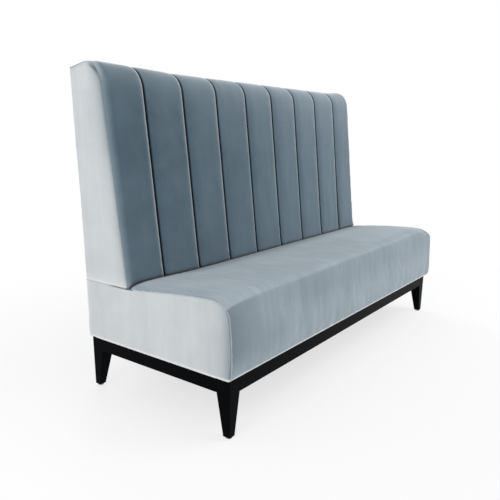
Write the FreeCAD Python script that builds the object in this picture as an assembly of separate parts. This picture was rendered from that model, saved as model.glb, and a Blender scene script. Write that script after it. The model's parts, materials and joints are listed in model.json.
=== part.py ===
"""High-back banquette bench for a dining room.

A sprung box seat stands on a black timber plinth with four tapered legs on levelling glides.
A tall raked back, padded and sewn in upright channels, is bolted on the seat's rear ledge.
Lengths are in millimetres. X runs along the bench, the front faces -Y and Z is up.
The origin is on the floor, under the middle of the bench's outline.
"""
import FreeCAD, Part
import math
import os

Vector = FreeCAD.Vector

# Overall size
LENGTH = 1800.0
DEPTH = 700.0
HEIGHT = 1200.0

# Clearances
FIT = 0.3                    # between boards, foam and cloth that lie on each other
RUNNING_CLEARANCE = 0.05     # radial, between a fastener or stem and its hole
DRILL_OVERRUN = 2.0          # how far a drilled hole runs past what it holds

# Cloth and foam
VELVET = 2.0                 # velvet and its lining
SIDE_PANEL = 6.0             # velvet bonded to thin foam, on the seat's and back's ends
HEM_RETURN = 30.0            # cloth turned in under the seat frame
SEAT_TOP_PAD = 24.0
SEAT_FRONT_PAD = 12.0
CHANNEL_PAD = 22.0           # foam of a channel at its seams

# Seat form
SEAT_HEIGHT = 467.0          # highest line of the seat's end edge, just behind its front
SEAT_FALL = 25.0             # how much lower the ledge is, where the back stands
SEAT_CROWN = 9.0             # how much higher the seat's middle is than its ends
SEAT_CROWN_RUN = 200.0       # how far from each end the crown takes to rise
SEAT_CROWN_SHARES = (0.0, 0.12, 0.3, 0.6, 1.0)
SEAT_EDGE_RADIUS = 36.0
HEM_RADIUS = 14.0
FRONT_CROWN = 4.0

# Back form
BACK_BASE_DEPTH = 230.0
BACK_TOP_DEPTH = 145.0
BACK_TOP_FALL = 9.0          # how much lower the top is at its rear
BACK_ROLL_RADIUS = 75.0
ROLL_STEPS = 10
CHANNEL_COUNT = 9
CHANNEL_WRAP = 21.0          # width of each end channel that the back's corner takes up
CHANNEL_CROWN = 14.0
CHANNEL_TOP_CROWN = 3.5

# Plinth
PLINTH_HEIGHT = 208.0
PLINTH_RAIL_HEIGHT = 52.0
PLINTH_RAIL_THICKNESS = 22.0
PLINTH_FRONT_INSET = 12.0
PLINTH_END_INSET = 12.0
PLINTH_REAR_INSET = 6.0
LEG_WIDTH = 55.0
LEG_FOOT_WIDTH = 28.0
LEG_EDGE_RADIUS = 1.5
CROSS_RAIL_HEIGHT = 44.0
CROSS_RAIL_SHARES = (-1 / 3, 1 / 3)

# Plinth fastenings
DOWEL_RADIUS = 5.0
DOWEL_LENGTH = 50.0
DOWEL_EDGE_DISTANCE = 15.0
DOWEL_BLIND_WALL = 6.0       # wood left between a cross rail's dowel and the rail's outer face
BRACKET_THICKNESS = 3.0
BRACKET_HEIGHT = 36.0
BRACKET_TAB = 28.0
BRACKET_STANDOFF = 8.0       # from the leg's inner edge to the bracket
HANGER_RADIUS = 4.0
HANGER_IN_LEG = 30.0
HANGER_PAST_NUT = 4.0
NUT_RADIUS = 7.5
NUT_THICKNESS = 6.5
HOLE_CLEARANCE = 0.4         # radial, around a bolt or screw that passes through
SCREW_RADIUS = 3.0
SCREW_HEAD_RADIUS = 6.0
SCREW_HEAD_THICKNESS = 4.0
SCREW_SUNK = 12.0            # depth of the pocket that hides a screw head
SCREW_IN_FRAME = 35.0
SCREW_SHARES = (-0.78, -0.26, 0.26, 0.78)

# Levelling glides
GLIDE_RADIUS = 12.0
GLIDE_HEIGHT = 6.0
GLIDE_FLOOR = 1.8            # plastic under the stem's foot
GLIDE_EDGE = 1.5
STEM_RADIUS = 4.0
STEM_LENGTH = 38.0
STEM_FOOT_RADIUS = 6.0
STEM_FOOT_THICKNESS = 2.2
INSERT_RADIUS = 7.0
INSERT_LENGTH = 20.0

# Seat frame
RAIL_THICKNESS = 25.0
END_THICKNESS = 18.0
RAIL_EASE = 5.0              # bevel inside the round of the hem
WEB_THICKNESS = 2.0
WEB_WIDTH = 60.0
WEB_COUNT = 18
CORE_THICKNESS = 90.4        # foam between the webbing and the seat's top pad
LEDGE_THICKNESS = 18.0
RISER_THICKNESS = 12.0
MEMBER_THICKNESS = 22.0
MEMBER_HEIGHT_SHARE = 0.65   # of the rails' height, so the webbing has room to give
MEMBER_SHARES = (-0.5, 0.0, 0.5)
BLOCK_SIDE = 60.0
BLOCK_DROP = 18.0            # from the rails' tops to the corner blocks' tops
DUST_COVER_THICKNESS = 1.0

# Back frame
FACE_BOARD = 6.0
REAR_BOARD = 4.0
BOTTOM_BOARD = 25.0
TOP_BOARD = 52.0
UPRIGHT_SHARES = (-0.5, 0.0, 0.5)
BACK_BOLT_RADIUS = 4.0
BACK_BOLT_HEAD_RADIUS = 6.5
BACK_BOLT_HEAD_THICKNESS = 5.0
T_NUT_RADIUS = 5.5
T_NUT_LENGTH = 12.0
T_NUT_FLANGE_RADIUS = 10.0
T_NUT_FLANGE_THICKNESS = 1.6
BACK_BOLT_SHARES = (-0.78, -0.28, 0.28, 0.78)

# Levels and planes that several pieces share
HALF_LENGTH = LENGTH / 2
HALF_DEPTH = DEPTH / 2
INNER_HALF = HALF_LENGTH - SIDE_PANEL - FIT            # ends of what lies between the side panels
FRAME_HALF = INNER_HALF - END_THICKNESS                # ends of what lies between the end boards
REAR_FACE = HALF_DEPTH - VELVET - FIT                  # rear face of both frames
FRAME_BOTTOM = PLINTH_HEIGHT + VELVET
LEDGE_HEIGHT = SEAT_HEIGHT - SEAT_FALL
SEAT_FACE = -HALF_DEPTH + FRONT_CROWN
FRONT_INSET = VELVET + FIT + SEAT_FRONT_PAD + FIT      # from the seat's face to its front rail
TOP_INSET = VELVET + FIT + SEAT_TOP_PAD + FIT          # from the seat's top to its foam core
FRAME_FRONT = SEAT_FACE + FRONT_INSET
CORE_BOTTOM = SEAT_HEIGHT - TOP_INSET - CORE_THICKNESS
RAIL_TOP = CORE_BOTTOM - WEB_THICKNESS
BACK_FRONT = HALF_DEPTH - BACK_BASE_DEPTH
LEDGE_FRONT = BACK_FRONT - CHANNEL_CROWN              # the ledge starts under the channels' crowns
RISER_REAR = LEDGE_FRONT + RISER_THICKNESS
LEDGE_TOP = LEDGE_HEIGHT - VELVET - FIT
LEDGE_BOTTOM = LEDGE_TOP - LEDGE_THICKNESS
MIDDLE_RAIL_FRONT = RISER_REAR - RAIL_THICKNESS
REAR_RAIL_FRONT = REAR_FACE - RAIL_THICKNESS
RAIL_BOTTOM = PLINTH_HEIGHT - PLINTH_RAIL_HEIGHT
RAIL_MIDDLE = PLINTH_HEIGHT - PLINTH_RAIL_HEIGHT / 2
LEG_BOTTOM = GLIDE_HEIGHT + FIT
PLINTH_HALF = HALF_LENGTH - PLINTH_END_INSET
PLINTH_FRONT = -HALF_DEPTH + PLINTH_FRONT_INSET
PLINTH_REAR = HALF_DEPTH - PLINTH_REAR_INSET
BACK_BOTTOM = LEDGE_HEIGHT + FIT
BACK_TILT = math.atan((BACK_BASE_DEPTH - BACK_TOP_DEPTH) / (HEIGHT - LEDGE_HEIGHT))
SEAM_TOP = HEIGHT - CHANNEL_TOP_CROWN                  # level of the seams where they reach the back's top
REAR_TOP = SEAM_TOP - BACK_TOP_FALL
ROLL_LEVEL = SEAM_TOP - BACK_ROLL_RADIUS
BOARD_INSET = VELVET + FIT + CHANNEL_PAD + FIT         # from the seams to the back's boards
BACK_BOARDS_REAR = REAR_FACE - REAR_BOARD
TOP_BOARD_TOP = SEAM_TOP - BOARD_INSET
REAR_BOARD_TOP = REAR_TOP - BOARD_INSET
TOP_BOARD_BOTTOM = TOP_BOARD_TOP - TOP_BOARD

pieces = {}


def box(x, y, z):
    """Block between two limits along each axis."""
    return Part.makeBox(x[1] - x[0], y[1] - y[0], z[1] - z[0], Vector(x[0], y[0], z[0]))


def rod(radius, start, direction, length):
    return Part.makeCylinder(radius, length, start, direction)


def chain_edges(chain, place):
    """Edges along a chain, which is a first point and then (middle or None, end) per arc or line."""
    made = []
    start = chain[0]
    for middle, end in chain[1:]:
        if middle is None:
            made.append(Part.LineSegment(place(start), place(end)).toShape())
        else:
            made.append(Part.Arc(place(start), place(middle), place(end)).toShape())
        start = end
    return made


def turned(chain):
    """The same chain run from its last point to its first."""
    points = [chain[0]] + [end for middle, end in chain[1:]]
    middles = [middle for middle, end in chain[1:]]
    steps = zip(reversed(middles), reversed(points[:-1]))
    return [points[-1]] + list(steps)


def band(outer, inner, place):
    """Closed wire around the layer between two chains that run the same way."""
    back = turned(inner)
    loop = outer + [(None, back[0])] + back[1:] + [(None, outer[0])]
    return Part.Wire(chain_edges(loop, place))


def at_x(x):
    """Puts a point of a side view, its Y and Z, at a place along the bench."""
    return lambda point: Vector(x, point[0], point[1])


def side_cut(chain, x):
    """Solid with one side view all along, between two places along the bench."""
    loop = chain + [(None, chain[0])]
    face = Part.Face(Part.Wire(chain_edges(loop, at_x(x[0]))))
    return face.extrude(Vector(x[1] - x[0], 0, 0))


def polygon(*points):
    return [points[0]] + [(None, point) for point in points[1:]]


def drill(names, radius, start, direction, length):
    """Cuts one round hole through each named piece."""
    for name in names:
        pieces[name] = pieces[name].cut(rod(radius, start, direction, length))


def mirrored(shape):
    return shape.mirror(Vector(0, 0, 0), Vector(1, 0, 0))


# Seat form

def seat_top_level(y, rise):
    """Height of the finished seat: level behind its front edge, then a gentle fall to the ledge."""
    start = SEAT_FACE + SEAT_EDGE_RADIUS
    run = LEDGE_FRONT - start
    drop = SEAT_HEIGHT + rise - LEDGE_HEIGHT
    radius = (run ** 2 + drop ** 2) / (2 * drop)
    return SEAT_HEIGHT + rise - radius + math.sqrt(radius ** 2 - (y - start) ** 2)


def seat_top_chain(face_inset, top_inset, rise, end):
    """The front's top edge and the top, from the face up and back to a place in depth."""
    face = SEAT_FACE + face_inset
    top = SEAT_HEIGHT + rise - top_inset
    radius = SEAT_EDGE_RADIUS - top_inset
    corner = (1 - math.sqrt(0.5)) * radius
    start = face + radius
    run = end - start
    drop = top - (seat_top_level(end, rise) - top_inset)
    bend = (run ** 2 + drop ** 2) / (2 * drop)
    half_turn = math.asin(run / bend) / 2
    middle = (start + bend * math.sin(half_turn), top - bend * (1 - math.cos(half_turn)))
    return [
        (face, top - radius),
        ((face + corner, top - corner), (start, top)),
        (middle, (end, top - drop)),
    ]


def seat_skin_chain(inset, rise, end):
    """The seat's skin from its hem, up the crowned front and over the top."""
    face = SEAT_FACE + inset
    bottom = PLINTH_HEIGHT + inset
    radius = HEM_RADIUS - inset
    corner = (1 - math.sqrt(0.5)) * radius
    top = seat_top_chain(inset, inset, rise, end)
    front_middle = (face - FRONT_CROWN, (bottom + radius + top[0][1]) / 2)
    hem = [(face + radius, bottom), ((face + corner, bottom + corner), (face, bottom + radius))]
    return hem + [(front_middle, top[0])] + top[1:]


def seat_sections():
    """Places along the seat with the rise of its crown at each, from end to end."""
    near = [(INNER_HALF - SEAT_CROWN_RUN * share, SEAT_CROWN * (1 - (1 - share) ** 2))
            for share in SEAT_CROWN_SHARES]
    return [(-x, rise) for x, rise in near] + list(reversed(near))


def seat_cover_main():
    """Velvet from the hem, up the front, over the top and back across the ledge."""
    turn_in = SEAT_FACE + HEM_RADIUS + HEM_RETURN
    wires = []
    for x, rise in seat_sections():
        layers = []
        for inset in (0, VELVET):
            skin = seat_skin_chain(inset, rise, LEDGE_FRONT)
            layers.append([(turn_in, PLINTH_HEIGHT + inset), (None, skin[0])] + skin[1:]
                          + [(None, (REAR_FACE, LEDGE_HEIGHT - inset))])
        wires.append(band(layers[0], layers[1], at_x(x)))
    return Part.makeLoft(wires, True, True)


def seat_foam_wrap():
    """Soft foam under the velvet, down the front and over the top as far as the ledge."""
    end = LEDGE_FRONT - FIT
    wires = []
    for x, rise in seat_sections():
        outer = seat_skin_chain(VELVET + FIT, rise, end)
        top = seat_top_chain(FRONT_INSET - FIT, TOP_INSET - FIT, rise, end)
        inner = [(top[0][0], FRAME_BOTTOM + RAIL_EASE), (None, top[0])] + top[1:]
        wires.append(band(outer, inner, at_x(x)))
    return Part.makeLoft(wires, True, True)


def seat_foam_core():
    """Firm foam block on the webbing, under the foam wrap."""
    end = LEDGE_FRONT - FIT
    wires = []
    for x, rise in seat_sections():
        top = seat_top_chain(FRONT_INSET, TOP_INSET, rise, end)
        loop = [(FRAME_FRONT, CORE_BOTTOM), (None, top[0])] + top[1:]
        loop += [(None, (end, CORE_BOTTOM)), (None, (FRAME_FRONT, CORE_BOTTOM))]
        wires.append(Part.Wire(chain_edges(loop, at_x(x))))
    return Part.makeLoft(wires, True, True)


def seat_cover_right():
    """Side panel: the seat's side view in bonded velvet, turned in under the frame."""
    outline = seat_skin_chain(0, 0, LEDGE_FRONT)
    outline += [(None, (HALF_DEPTH, LEDGE_HEIGHT)), (None, (HALF_DEPTH, PLINTH_HEIGHT))]
    panel = side_cut(outline, (INNER_HALF + FIT, HALF_LENGTH))
    turn_in = box((INNER_HALF + FIT - HEM_RETURN, INNER_HALF + FIT),
                  (SEAT_FACE + HEM_RADIUS + HEM_RETURN + FIT, REAR_FACE - HEM_RETURN - FIT),
                  (PLINTH_HEIGHT, FRAME_BOTTOM))
    return panel.fuse(turn_in).removeSplitter()


def seat_cover_rear():
    """Velvet on the rear of the seat, turned in under the frame."""
    panel = box((-INNER_HALF, INNER_HALF), (REAR_FACE + FIT, HALF_DEPTH), (PLINTH_HEIGHT, LEDGE_HEIGHT))
    turn_in = box((-INNER_HALF, INNER_HALF), (REAR_FACE - HEM_RETURN, REAR_FACE + FIT),
                  (PLINTH_HEIGHT, FRAME_BOTTOM))
    return panel.fuse(turn_in).removeSplitter()


def dust_cover():
    """Black cloth stapled under the frame, between the turned-in edges of the velvet."""
    half = INNER_HALF - HEM_RETURN
    return box((-half, half),
               (SEAT_FACE + HEM_RADIUS + HEM_RETURN + FIT, REAR_FACE - HEM_RETURN - FIT),
               (FRAME_BOTTOM - DUST_COVER_THICKNESS, FRAME_BOTTOM))


def make_seat_soft_parts():
    pieces["seat_cover_main"] = seat_cover_main()
    pieces["seat_cover_right"] = seat_cover_right()
    pieces["seat_cover_left"] = mirrored(seat_cover_right())
    pieces["seat_cover_rear"] = seat_cover_rear()
    pieces["seat_foam_wrap"] = seat_foam_wrap()
    pieces["seat_foam_core"] = seat_foam_core()
    pieces["seat_dust_cover"] = dust_cover()


# Seat frame

def seat_end_right():
    """End board: low under the foam core, high under the ledge."""
    outline = polygon(
        (FRAME_FRONT, FRAME_BOTTOM + RAIL_EASE), (FRAME_FRONT + RAIL_EASE, FRAME_BOTTOM),
        (REAR_FACE, FRAME_BOTTOM), (REAR_FACE, LEDGE_BOTTOM), (LEDGE_FRONT, LEDGE_BOTTOM),
        (LEDGE_FRONT, CORE_BOTTOM), (FRAME_FRONT, CORE_BOTTOM),
    )
    return side_cut(outline, (FRAME_HALF, INNER_HALF))


def seat_rail_front():
    back = FRAME_FRONT + RAIL_THICKNESS
    outline = polygon(
        (FRAME_FRONT, FRAME_BOTTOM + RAIL_EASE), (FRAME_FRONT + RAIL_EASE, FRAME_BOTTOM),
        (back, FRAME_BOTTOM), (back, RAIL_TOP), (FRAME_FRONT, RAIL_TOP),
    )
    return side_cut(outline, (-FRAME_HALF, FRAME_HALF))


def seat_cross_members():
    """Boards from front to rear: low ones under the webbing and tall ones under the ledge."""
    low_top = FRAME_BOTTOM + MEMBER_HEIGHT_SHARE * (RAIL_TOP - FRAME_BOTTOM)
    made = []
    for share in MEMBER_SHARES:
        centre = share * FRAME_HALF
        x = (centre - MEMBER_THICKNESS / 2, centre + MEMBER_THICKNESS / 2)
        made.append(box(x, (FRAME_FRONT + RAIL_THICKNESS, MIDDLE_RAIL_FRONT),
                        (FRAME_BOTTOM, low_top)))
        made.append(box(x, (RISER_REAR, REAR_RAIL_FRONT), (FRAME_BOTTOM, LEDGE_BOTTOM)))
    return made


def seat_corner_blocks():
    """Glued triangular blocks in the corners of the seat frame."""
    made = []
    for side in (-1, 1):
        for corner, inward in ((FRAME_FRONT + RAIL_THICKNESS, 1), (REAR_RAIL_FRONT, -1)):
            x = side * FRAME_HALF
            points = [Vector(x, corner, FRAME_BOTTOM),
                      Vector(x - side * BLOCK_SIDE, corner, FRAME_BOTTOM),
                      Vector(x, corner + inward * BLOCK_SIDE, FRAME_BOTTOM)]
            face = Part.Face(Part.makePolygon(points + points[:1]))
            made.append(face.extrude(Vector(0, 0, RAIL_TOP - BLOCK_DROP - FRAME_BOTTOM)))
    return made


def seat_webbing():
    """Elastic straps from the front rail to the middle rail."""
    pitch = (2 * FRAME_HALF) / WEB_COUNT
    made = []
    for index in range(WEB_COUNT):
        centre = -FRAME_HALF + pitch * (index + 0.5)
        made.append(box((centre - WEB_WIDTH / 2, centre + WEB_WIDTH / 2),
                        (FRAME_FRONT, LEDGE_FRONT - FIT), (RAIL_TOP, CORE_BOTTOM)))
    return made


def make_seat_frame():
    across = (-FRAME_HALF, FRAME_HALF)
    pieces["seat_end_right"] = seat_end_right()
    pieces["seat_end_left"] = mirrored(seat_end_right())
    pieces["seat_rail_front"] = seat_rail_front()
    pieces["seat_rail_middle"] = box(across, (MIDDLE_RAIL_FRONT, RISER_REAR), (FRAME_BOTTOM, RAIL_TOP))
    pieces["seat_rail_rear"] = box(across, (REAR_RAIL_FRONT, REAR_FACE), (FRAME_BOTTOM, LEDGE_BOTTOM))
    pieces["seat_ledge_riser"] = box(across, (LEDGE_FRONT, RISER_REAR), (RAIL_TOP, LEDGE_BOTTOM))
    pieces["seat_ledge_board"] = box((-INNER_HALF, INNER_HALF), (LEDGE_FRONT, REAR_FACE),
                                     (LEDGE_BOTTOM, LEDGE_TOP))
    pieces["seat_cross_members"] = Part.Compound(seat_cross_members())
    pieces["seat_corner_blocks"] = Part.Compound(seat_corner_blocks())
    pieces["seat_webbing"] = Part.Compound(seat_webbing())


# Plinth

def leg_front_left():
    """Square leg, flush outside, whose two inner faces taper below the rails."""
    wires = []
    levels = ((PLINTH_HEIGHT, LEG_WIDTH), (RAIL_BOTTOM, LEG_WIDTH), (LEG_BOTTOM, LEG_FOOT_WIDTH))
    for z, width in levels:
        x = (-PLINTH_HALF, -PLINTH_HALF + width)
        y = (PLINTH_FRONT, PLINTH_FRONT + width)
        corners = [Vector(x[0], y[0], z), Vector(x[1], y[0], z),
                   Vector(x[1], y[1], z), Vector(x[0], y[1], z)]
        wires.append(Part.makePolygon(corners + corners[:1]))
    leg = Part.makeLoft(wires, True, True)
    uprights = [edge for edge in leg.Edges if abs(edge.tangentAt(edge.FirstParameter).z) > 0.5]
    return leg.makeFillet(LEG_EDGE_RADIUS, uprights)


def leg_places():
    """Name, outer corner and inward directions of each leg."""
    return (
        ("front_left", -PLINTH_HALF, PLINTH_FRONT, 1, 1),
        ("front_right", PLINTH_HALF, PLINTH_FRONT, -1, 1),
        ("rear_left", -PLINTH_HALF, PLINTH_REAR, 1, -1),
        ("rear_right", PLINTH_HALF, PLINTH_REAR, -1, -1),
    )


def make_legs():
    first = leg_front_left()
    for name, x, y, inward_x, inward_y in leg_places():
        leg = first
        if inward_x < 0:
            leg = mirrored(leg)
        if inward_y < 0:
            leg = leg.mirror(Vector(0, (PLINTH_FRONT + PLINTH_REAR) / 2, 0), Vector(0, 1, 0))
        pieces["leg_" + name] = leg


def make_plinth_rails():
    across = (-PLINTH_HALF + LEG_WIDTH, PLINTH_HALF - LEG_WIDTH)
    along = (PLINTH_FRONT + LEG_WIDTH, PLINTH_REAR - LEG_WIDTH)
    tall = (RAIL_BOTTOM, PLINTH_HEIGHT)
    front = (PLINTH_FRONT, PLINTH_FRONT + PLINTH_RAIL_THICKNESS)
    rear = (PLINTH_REAR - PLINTH_RAIL_THICKNESS, PLINTH_REAR)
    right = (PLINTH_HALF - PLINTH_RAIL_THICKNESS, PLINTH_HALF)
    pieces["plinth_rail_front"] = box(across, front, tall)
    pieces["plinth_rail_rear"] = box(across, rear, tall)
    pieces["plinth_rail_right"] = box(right, along, tall)
    pieces["plinth_rail_left"] = mirrored(pieces["plinth_rail_right"])
    cross = []
    for share in CROSS_RAIL_SHARES:
        centre = share * PLINTH_HALF
        x = (centre - PLINTH_RAIL_THICKNESS / 2, centre + PLINTH_RAIL_THICKNESS / 2)
        cross.append(box(x, (front[1], rear[0]), (PLINTH_HEIGHT - CROSS_RAIL_HEIGHT, PLINTH_HEIGHT)))
    pieces["plinth_cross_rails"] = Part.Compound(cross)


def dowel(names, joint, direction, blind):
    """Dowel across a joint: as deep as asked behind it, and half its length ahead of it."""
    start = joint - direction * blind
    length = blind + DOWEL_LENGTH / 2
    drill(names, DOWEL_RADIUS + RUNNING_CLEARANCE, start, direction, length + DRILL_OVERRUN)
    return rod(DOWEL_RADIUS, start, direction, length)


def make_dowels():
    """Two dowels where each rail meets a leg, and one at each end of a cross rail."""
    made = []
    middle = PLINTH_RAIL_THICKNESS / 2
    for name, x, y, inward_x, inward_y in leg_places():
        end, side = name.split("_")
        for z in (RAIL_BOTTOM + DOWEL_EDGE_DISTANCE, PLINTH_HEIGHT - DOWEL_EDGE_DISTANCE):
            made.append(dowel(("leg_" + name, "plinth_rail_" + end),
                              Vector(x + inward_x * LEG_WIDTH, y + inward_y * middle, z),
                              Vector(inward_x, 0, 0), DOWEL_LENGTH / 2))
            made.append(dowel(("leg_" + name, "plinth_rail_" + side),
                              Vector(x + inward_x * middle, y + inward_y * LEG_WIDTH, z),
                              Vector(0, inward_y, 0), DOWEL_LENGTH / 2))
    for share in CROSS_RAIL_SHARES:
        centre = Vector(share * PLINTH_HALF, 0, PLINTH_HEIGHT - CROSS_RAIL_HEIGHT / 2)
        for end, face, inward in (("front", PLINTH_FRONT, 1), ("rear", PLINTH_REAR, -1)):
            joint = centre + Vector(0, face + inward * PLINTH_RAIL_THICKNESS, 0)
            made.append(dowel(("plinth_rail_" + end, "plinth_cross_rails"), joint, Vector(0, inward, 0),
                              PLINTH_RAIL_THICKNESS - DOWEL_BLIND_WALL))
    pieces["rail_dowels"] = Part.Compound(made)


def bracket(x, y, inward_x, inward_y):
    """Pressed corner plate: a slanting web across the corner, with a tab on each rail."""
    on_rail = PLINTH_RAIL_THICKNESS
    reach = 2 * LEG_WIDTH + BRACKET_STANDOFF * math.sqrt(2) - on_rail
    inner_reach = reach + BRACKET_THICKNESS * (math.sqrt(2) - 1)
    tab_end = reach + BRACKET_TAB
    skin = on_rail + BRACKET_THICKNESS
    plan = ((tab_end, on_rail), (reach, on_rail), (on_rail, reach), (on_rail, tab_end),
            (skin, tab_end), (skin, inner_reach), (inner_reach, skin), (tab_end, skin))
    bottom = RAIL_MIDDLE - BRACKET_HEIGHT / 2
    points = [Vector(x + inward_x * u, y + inward_y * v, bottom) for u, v in plan]
    face = Part.Face(Part.makePolygon(points + points[:1]))
    return face.extrude(Vector(0, 0, BRACKET_HEIGHT))


def hexagon(centre, direction, side, radius, thickness):
    """Six-sided block: first face at a place, axis along a direction, a corner to one side."""
    across = side.cross(direction)
    points = []
    for index in range(6):
        angle = math.radians(60 * index)
        points.append(centre + side * (radius * math.cos(angle)) + across * (radius * math.sin(angle)))
    return Part.Face(Part.makePolygon(points + points[:1])).extrude(direction * thickness)


def make_corner_fastenings():
    """A bracket in each corner, pulled towards its leg by a hanger bolt and nut."""
    brackets = []
    bolts = []
    for name, x, y, inward_x, inward_y in leg_places():
        direction = Vector(inward_x, inward_y, 0).normalize()
        leg_edge = Vector(x + inward_x * LEG_WIDTH, y + inward_y * LEG_WIDTH, RAIL_MIDDLE)
        nut_face = leg_edge + direction * (BRACKET_STANDOFF + BRACKET_THICKNESS)
        start = leg_edge - direction * HANGER_IN_LEG
        length = (HANGER_IN_LEG + BRACKET_STANDOFF + BRACKET_THICKNESS + NUT_THICKNESS + HANGER_PAST_NUT)
        hole = rod(HANGER_RADIUS + HOLE_CLEARANCE, start, direction, length)
        brackets.append(bracket(x, y, inward_x, inward_y).cut(hole))
        bolts.append(rod(HANGER_RADIUS, start, direction, length))
        nut = hexagon(nut_face, direction, Vector(0, 0, 1), NUT_RADIUS, NUT_THICKNESS)
        bolts.append(nut.cut(rod(HANGER_RADIUS + RUNNING_CLEARANCE, start, direction, length)))
        drill(("leg_" + name,), HANGER_RADIUS + RUNNING_CLEARANCE, start, direction, length)
    pieces["corner_brackets"] = Part.Compound(brackets)
    pieces["hanger_bolts"] = Part.Compound(bolts)


def make_plinth_screws():
    """Screws from below, through the front and rear plinth rails into the seat frame."""
    front_line = (FRAME_FRONT + PLINTH_FRONT + PLINTH_RAIL_THICKNESS) / 2
    rear_line = (REAR_RAIL_FRONT + PLINTH_REAR) / 2
    up = Vector(0, 0, 1)
    rows = (
        (front_line, "plinth_rail_front", "seat_rail_front", ("seat_cover_main", "seat_foam_wrap")),
        (rear_line, "plinth_rail_rear", "seat_rail_rear", ("seat_cover_rear",)),
    )
    shank = FRAME_BOTTOM + SCREW_IN_FRAME - (RAIL_BOTTOM + SCREW_SUNK)
    screws = []
    for y, plinth_rail, seat_rail, soft in rows:
        for share in SCREW_SHARES:
            pocket = Vector(share * PLINTH_HALF, y, RAIL_BOTTOM)
            start = pocket + up * SCREW_SUNK
            head = rod(SCREW_HEAD_RADIUS, start - up * SCREW_HEAD_THICKNESS, up, SCREW_HEAD_THICKNESS)
            screws.append(rod(SCREW_RADIUS, start, up, shank).fuse(head).removeSplitter())
            drill((plinth_rail,), SCREW_HEAD_RADIUS + HOLE_CLEARANCE, pocket, up, SCREW_SUNK)
            drill((plinth_rail,) + soft, SCREW_RADIUS + HOLE_CLEARANCE, start, up, shank)
            drill((seat_rail,), SCREW_RADIUS + RUNNING_CLEARANCE, start, up, shank + DRILL_OVERRUN)
    pieces["plinth_screws"] = Part.Compound(screws)


# Levelling glides

def make_glides():
    """In each foot a threaded insert, a stem that screws in it, and a pad that the stem turns in."""
    up = Vector(0, 0, 1)
    inserts = []
    for name, x, y, inward_x, inward_y in leg_places():
        centre = Vector(x + inward_x * LEG_FOOT_WIDTH / 2, y + inward_y * LEG_FOOT_WIDTH / 2, 0)
        bore = STEM_RADIUS + RUNNING_CLEARANCE
        stem_bottom = centre + up * (GLIDE_FLOOR + RUNNING_CLEARANCE)
        foot_room = STEM_FOOT_THICKNESS + 2 * RUNNING_CLEARANCE
        pad = rod(GLIDE_RADIUS, centre, up, GLIDE_HEIGHT)
        pad = pad.makeChamfer(GLIDE_EDGE, [edge for edge in pad.Edges if edge.BoundBox.ZMax < GLIDE_FLOOR])
        pad = pad.cut(rod(STEM_FOOT_RADIUS + RUNNING_CLEARANCE, centre + up * GLIDE_FLOOR, up, foot_room))
        pieces["glide_pad_" + name] = pad.cut(rod(bore, centre + up * GLIDE_FLOOR, up, GLIDE_HEIGHT))
        foot = rod(STEM_FOOT_RADIUS, stem_bottom, up, STEM_FOOT_THICKNESS)
        stem = rod(STEM_RADIUS, stem_bottom, up, STEM_LENGTH)
        pieces["glide_stem_" + name] = stem.fuse(foot).removeSplitter()
        foot_level = centre + up * LEG_BOTTOM
        insert = rod(INSERT_RADIUS, foot_level, up, INSERT_LENGTH)
        inserts.append(insert.cut(rod(bore, foot_level, up, INSERT_LENGTH)))
        drill(("leg_" + name,), INSERT_RADIUS + RUNNING_CLEARANCE, foot_level, up, INSERT_LENGTH)
        drill(("leg_" + name,), STEM_RADIUS + HOLE_CLEARANCE, foot_level, up, STEM_LENGTH)
    pieces["glide_inserts"] = Part.Compound(inserts)


# Back form

def roll_centre():
    """Centre of the round from the back's face to its top, in the side view."""
    on_face = BACK_FRONT + (ROLL_LEVEL - LEDGE_HEIGHT) * math.tan(BACK_TILT)
    return on_face + BACK_ROLL_RADIUS / math.cos(BACK_TILT), ROLL_LEVEL


def face_place(level, inset):
    """Place in depth of the raked face at a level, and an inset behind the seams."""
    return BACK_FRONT + (level - LEDGE_HEIGHT) * math.tan(BACK_TILT) + inset / math.cos(BACK_TILT)


def roll_point(angle, inset):
    centre_y, centre_z = roll_centre()
    radius = BACK_ROLL_RADIUS - inset
    return centre_y - radius * math.cos(angle), centre_z + radius * math.sin(angle)


def back_stations():
    """Foot, outward direction and channel crown of each section, up the face and over the top."""
    foot = ((face_place(BACK_BOTTOM, 0), BACK_BOTTOM), (-1 / math.cos(BACK_TILT), 0), CHANNEL_CROWN)
    stations = [foot]
    for step in range(ROLL_STEPS + 1):
        share = step / ROLL_STEPS
        angle = BACK_TILT + (math.pi / 2 - BACK_TILT) * share
        crown = CHANNEL_TOP_CROWN + (CHANNEL_CROWN - CHANNEL_TOP_CROWN) * (1 - share) ** 2
        stations.append((roll_point(angle, 0), (-math.cos(angle), math.sin(angle)), crown))
    stations.append(((REAR_FACE, REAR_TOP), (0, 1), CHANNEL_TOP_CROWN))
    return stations


def in_section(foot, outward):
    """Puts a point of a section, its X and its height over the seams, on the back."""
    return lambda point: Vector(point[0], foot[0] + outward[0] * point[1], foot[1] + outward[1] * point[1])


def channel_chain(seams, height, crown):
    """One arc per channel, between seams that lie at one height."""
    chain = [(seams[0], height)]
    for left, right in zip(seams, seams[1:]):
        chain.append((((left + right) / 2, height + crown), (right, height)))
    return chain


def seam_places():
    """Seams at one pitch between the two ends, where the end channels are narrower."""
    pitch = 2 * (INNER_HALF + CHANNEL_WRAP) / CHANNEL_COUNT
    inner = [pitch * (index - CHANNEL_COUNT / 2) for index in range(1, CHANNEL_COUNT)]
    return [-INNER_HALF] + inner + [INNER_HALF]


def back_cover_channels():
    """Velvet of the back's face, sewn in channels that roll over the top to the rear."""
    wires = []
    for foot, outward, crown in back_stations():
        outer = channel_chain(seam_places(), 0, crown)
        inner = channel_chain(seam_places(), -VELVET, crown)
        wires.append(band(outer, inner, in_section(foot, outward)))
    return Part.makeLoft(wires, True, True)


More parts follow.
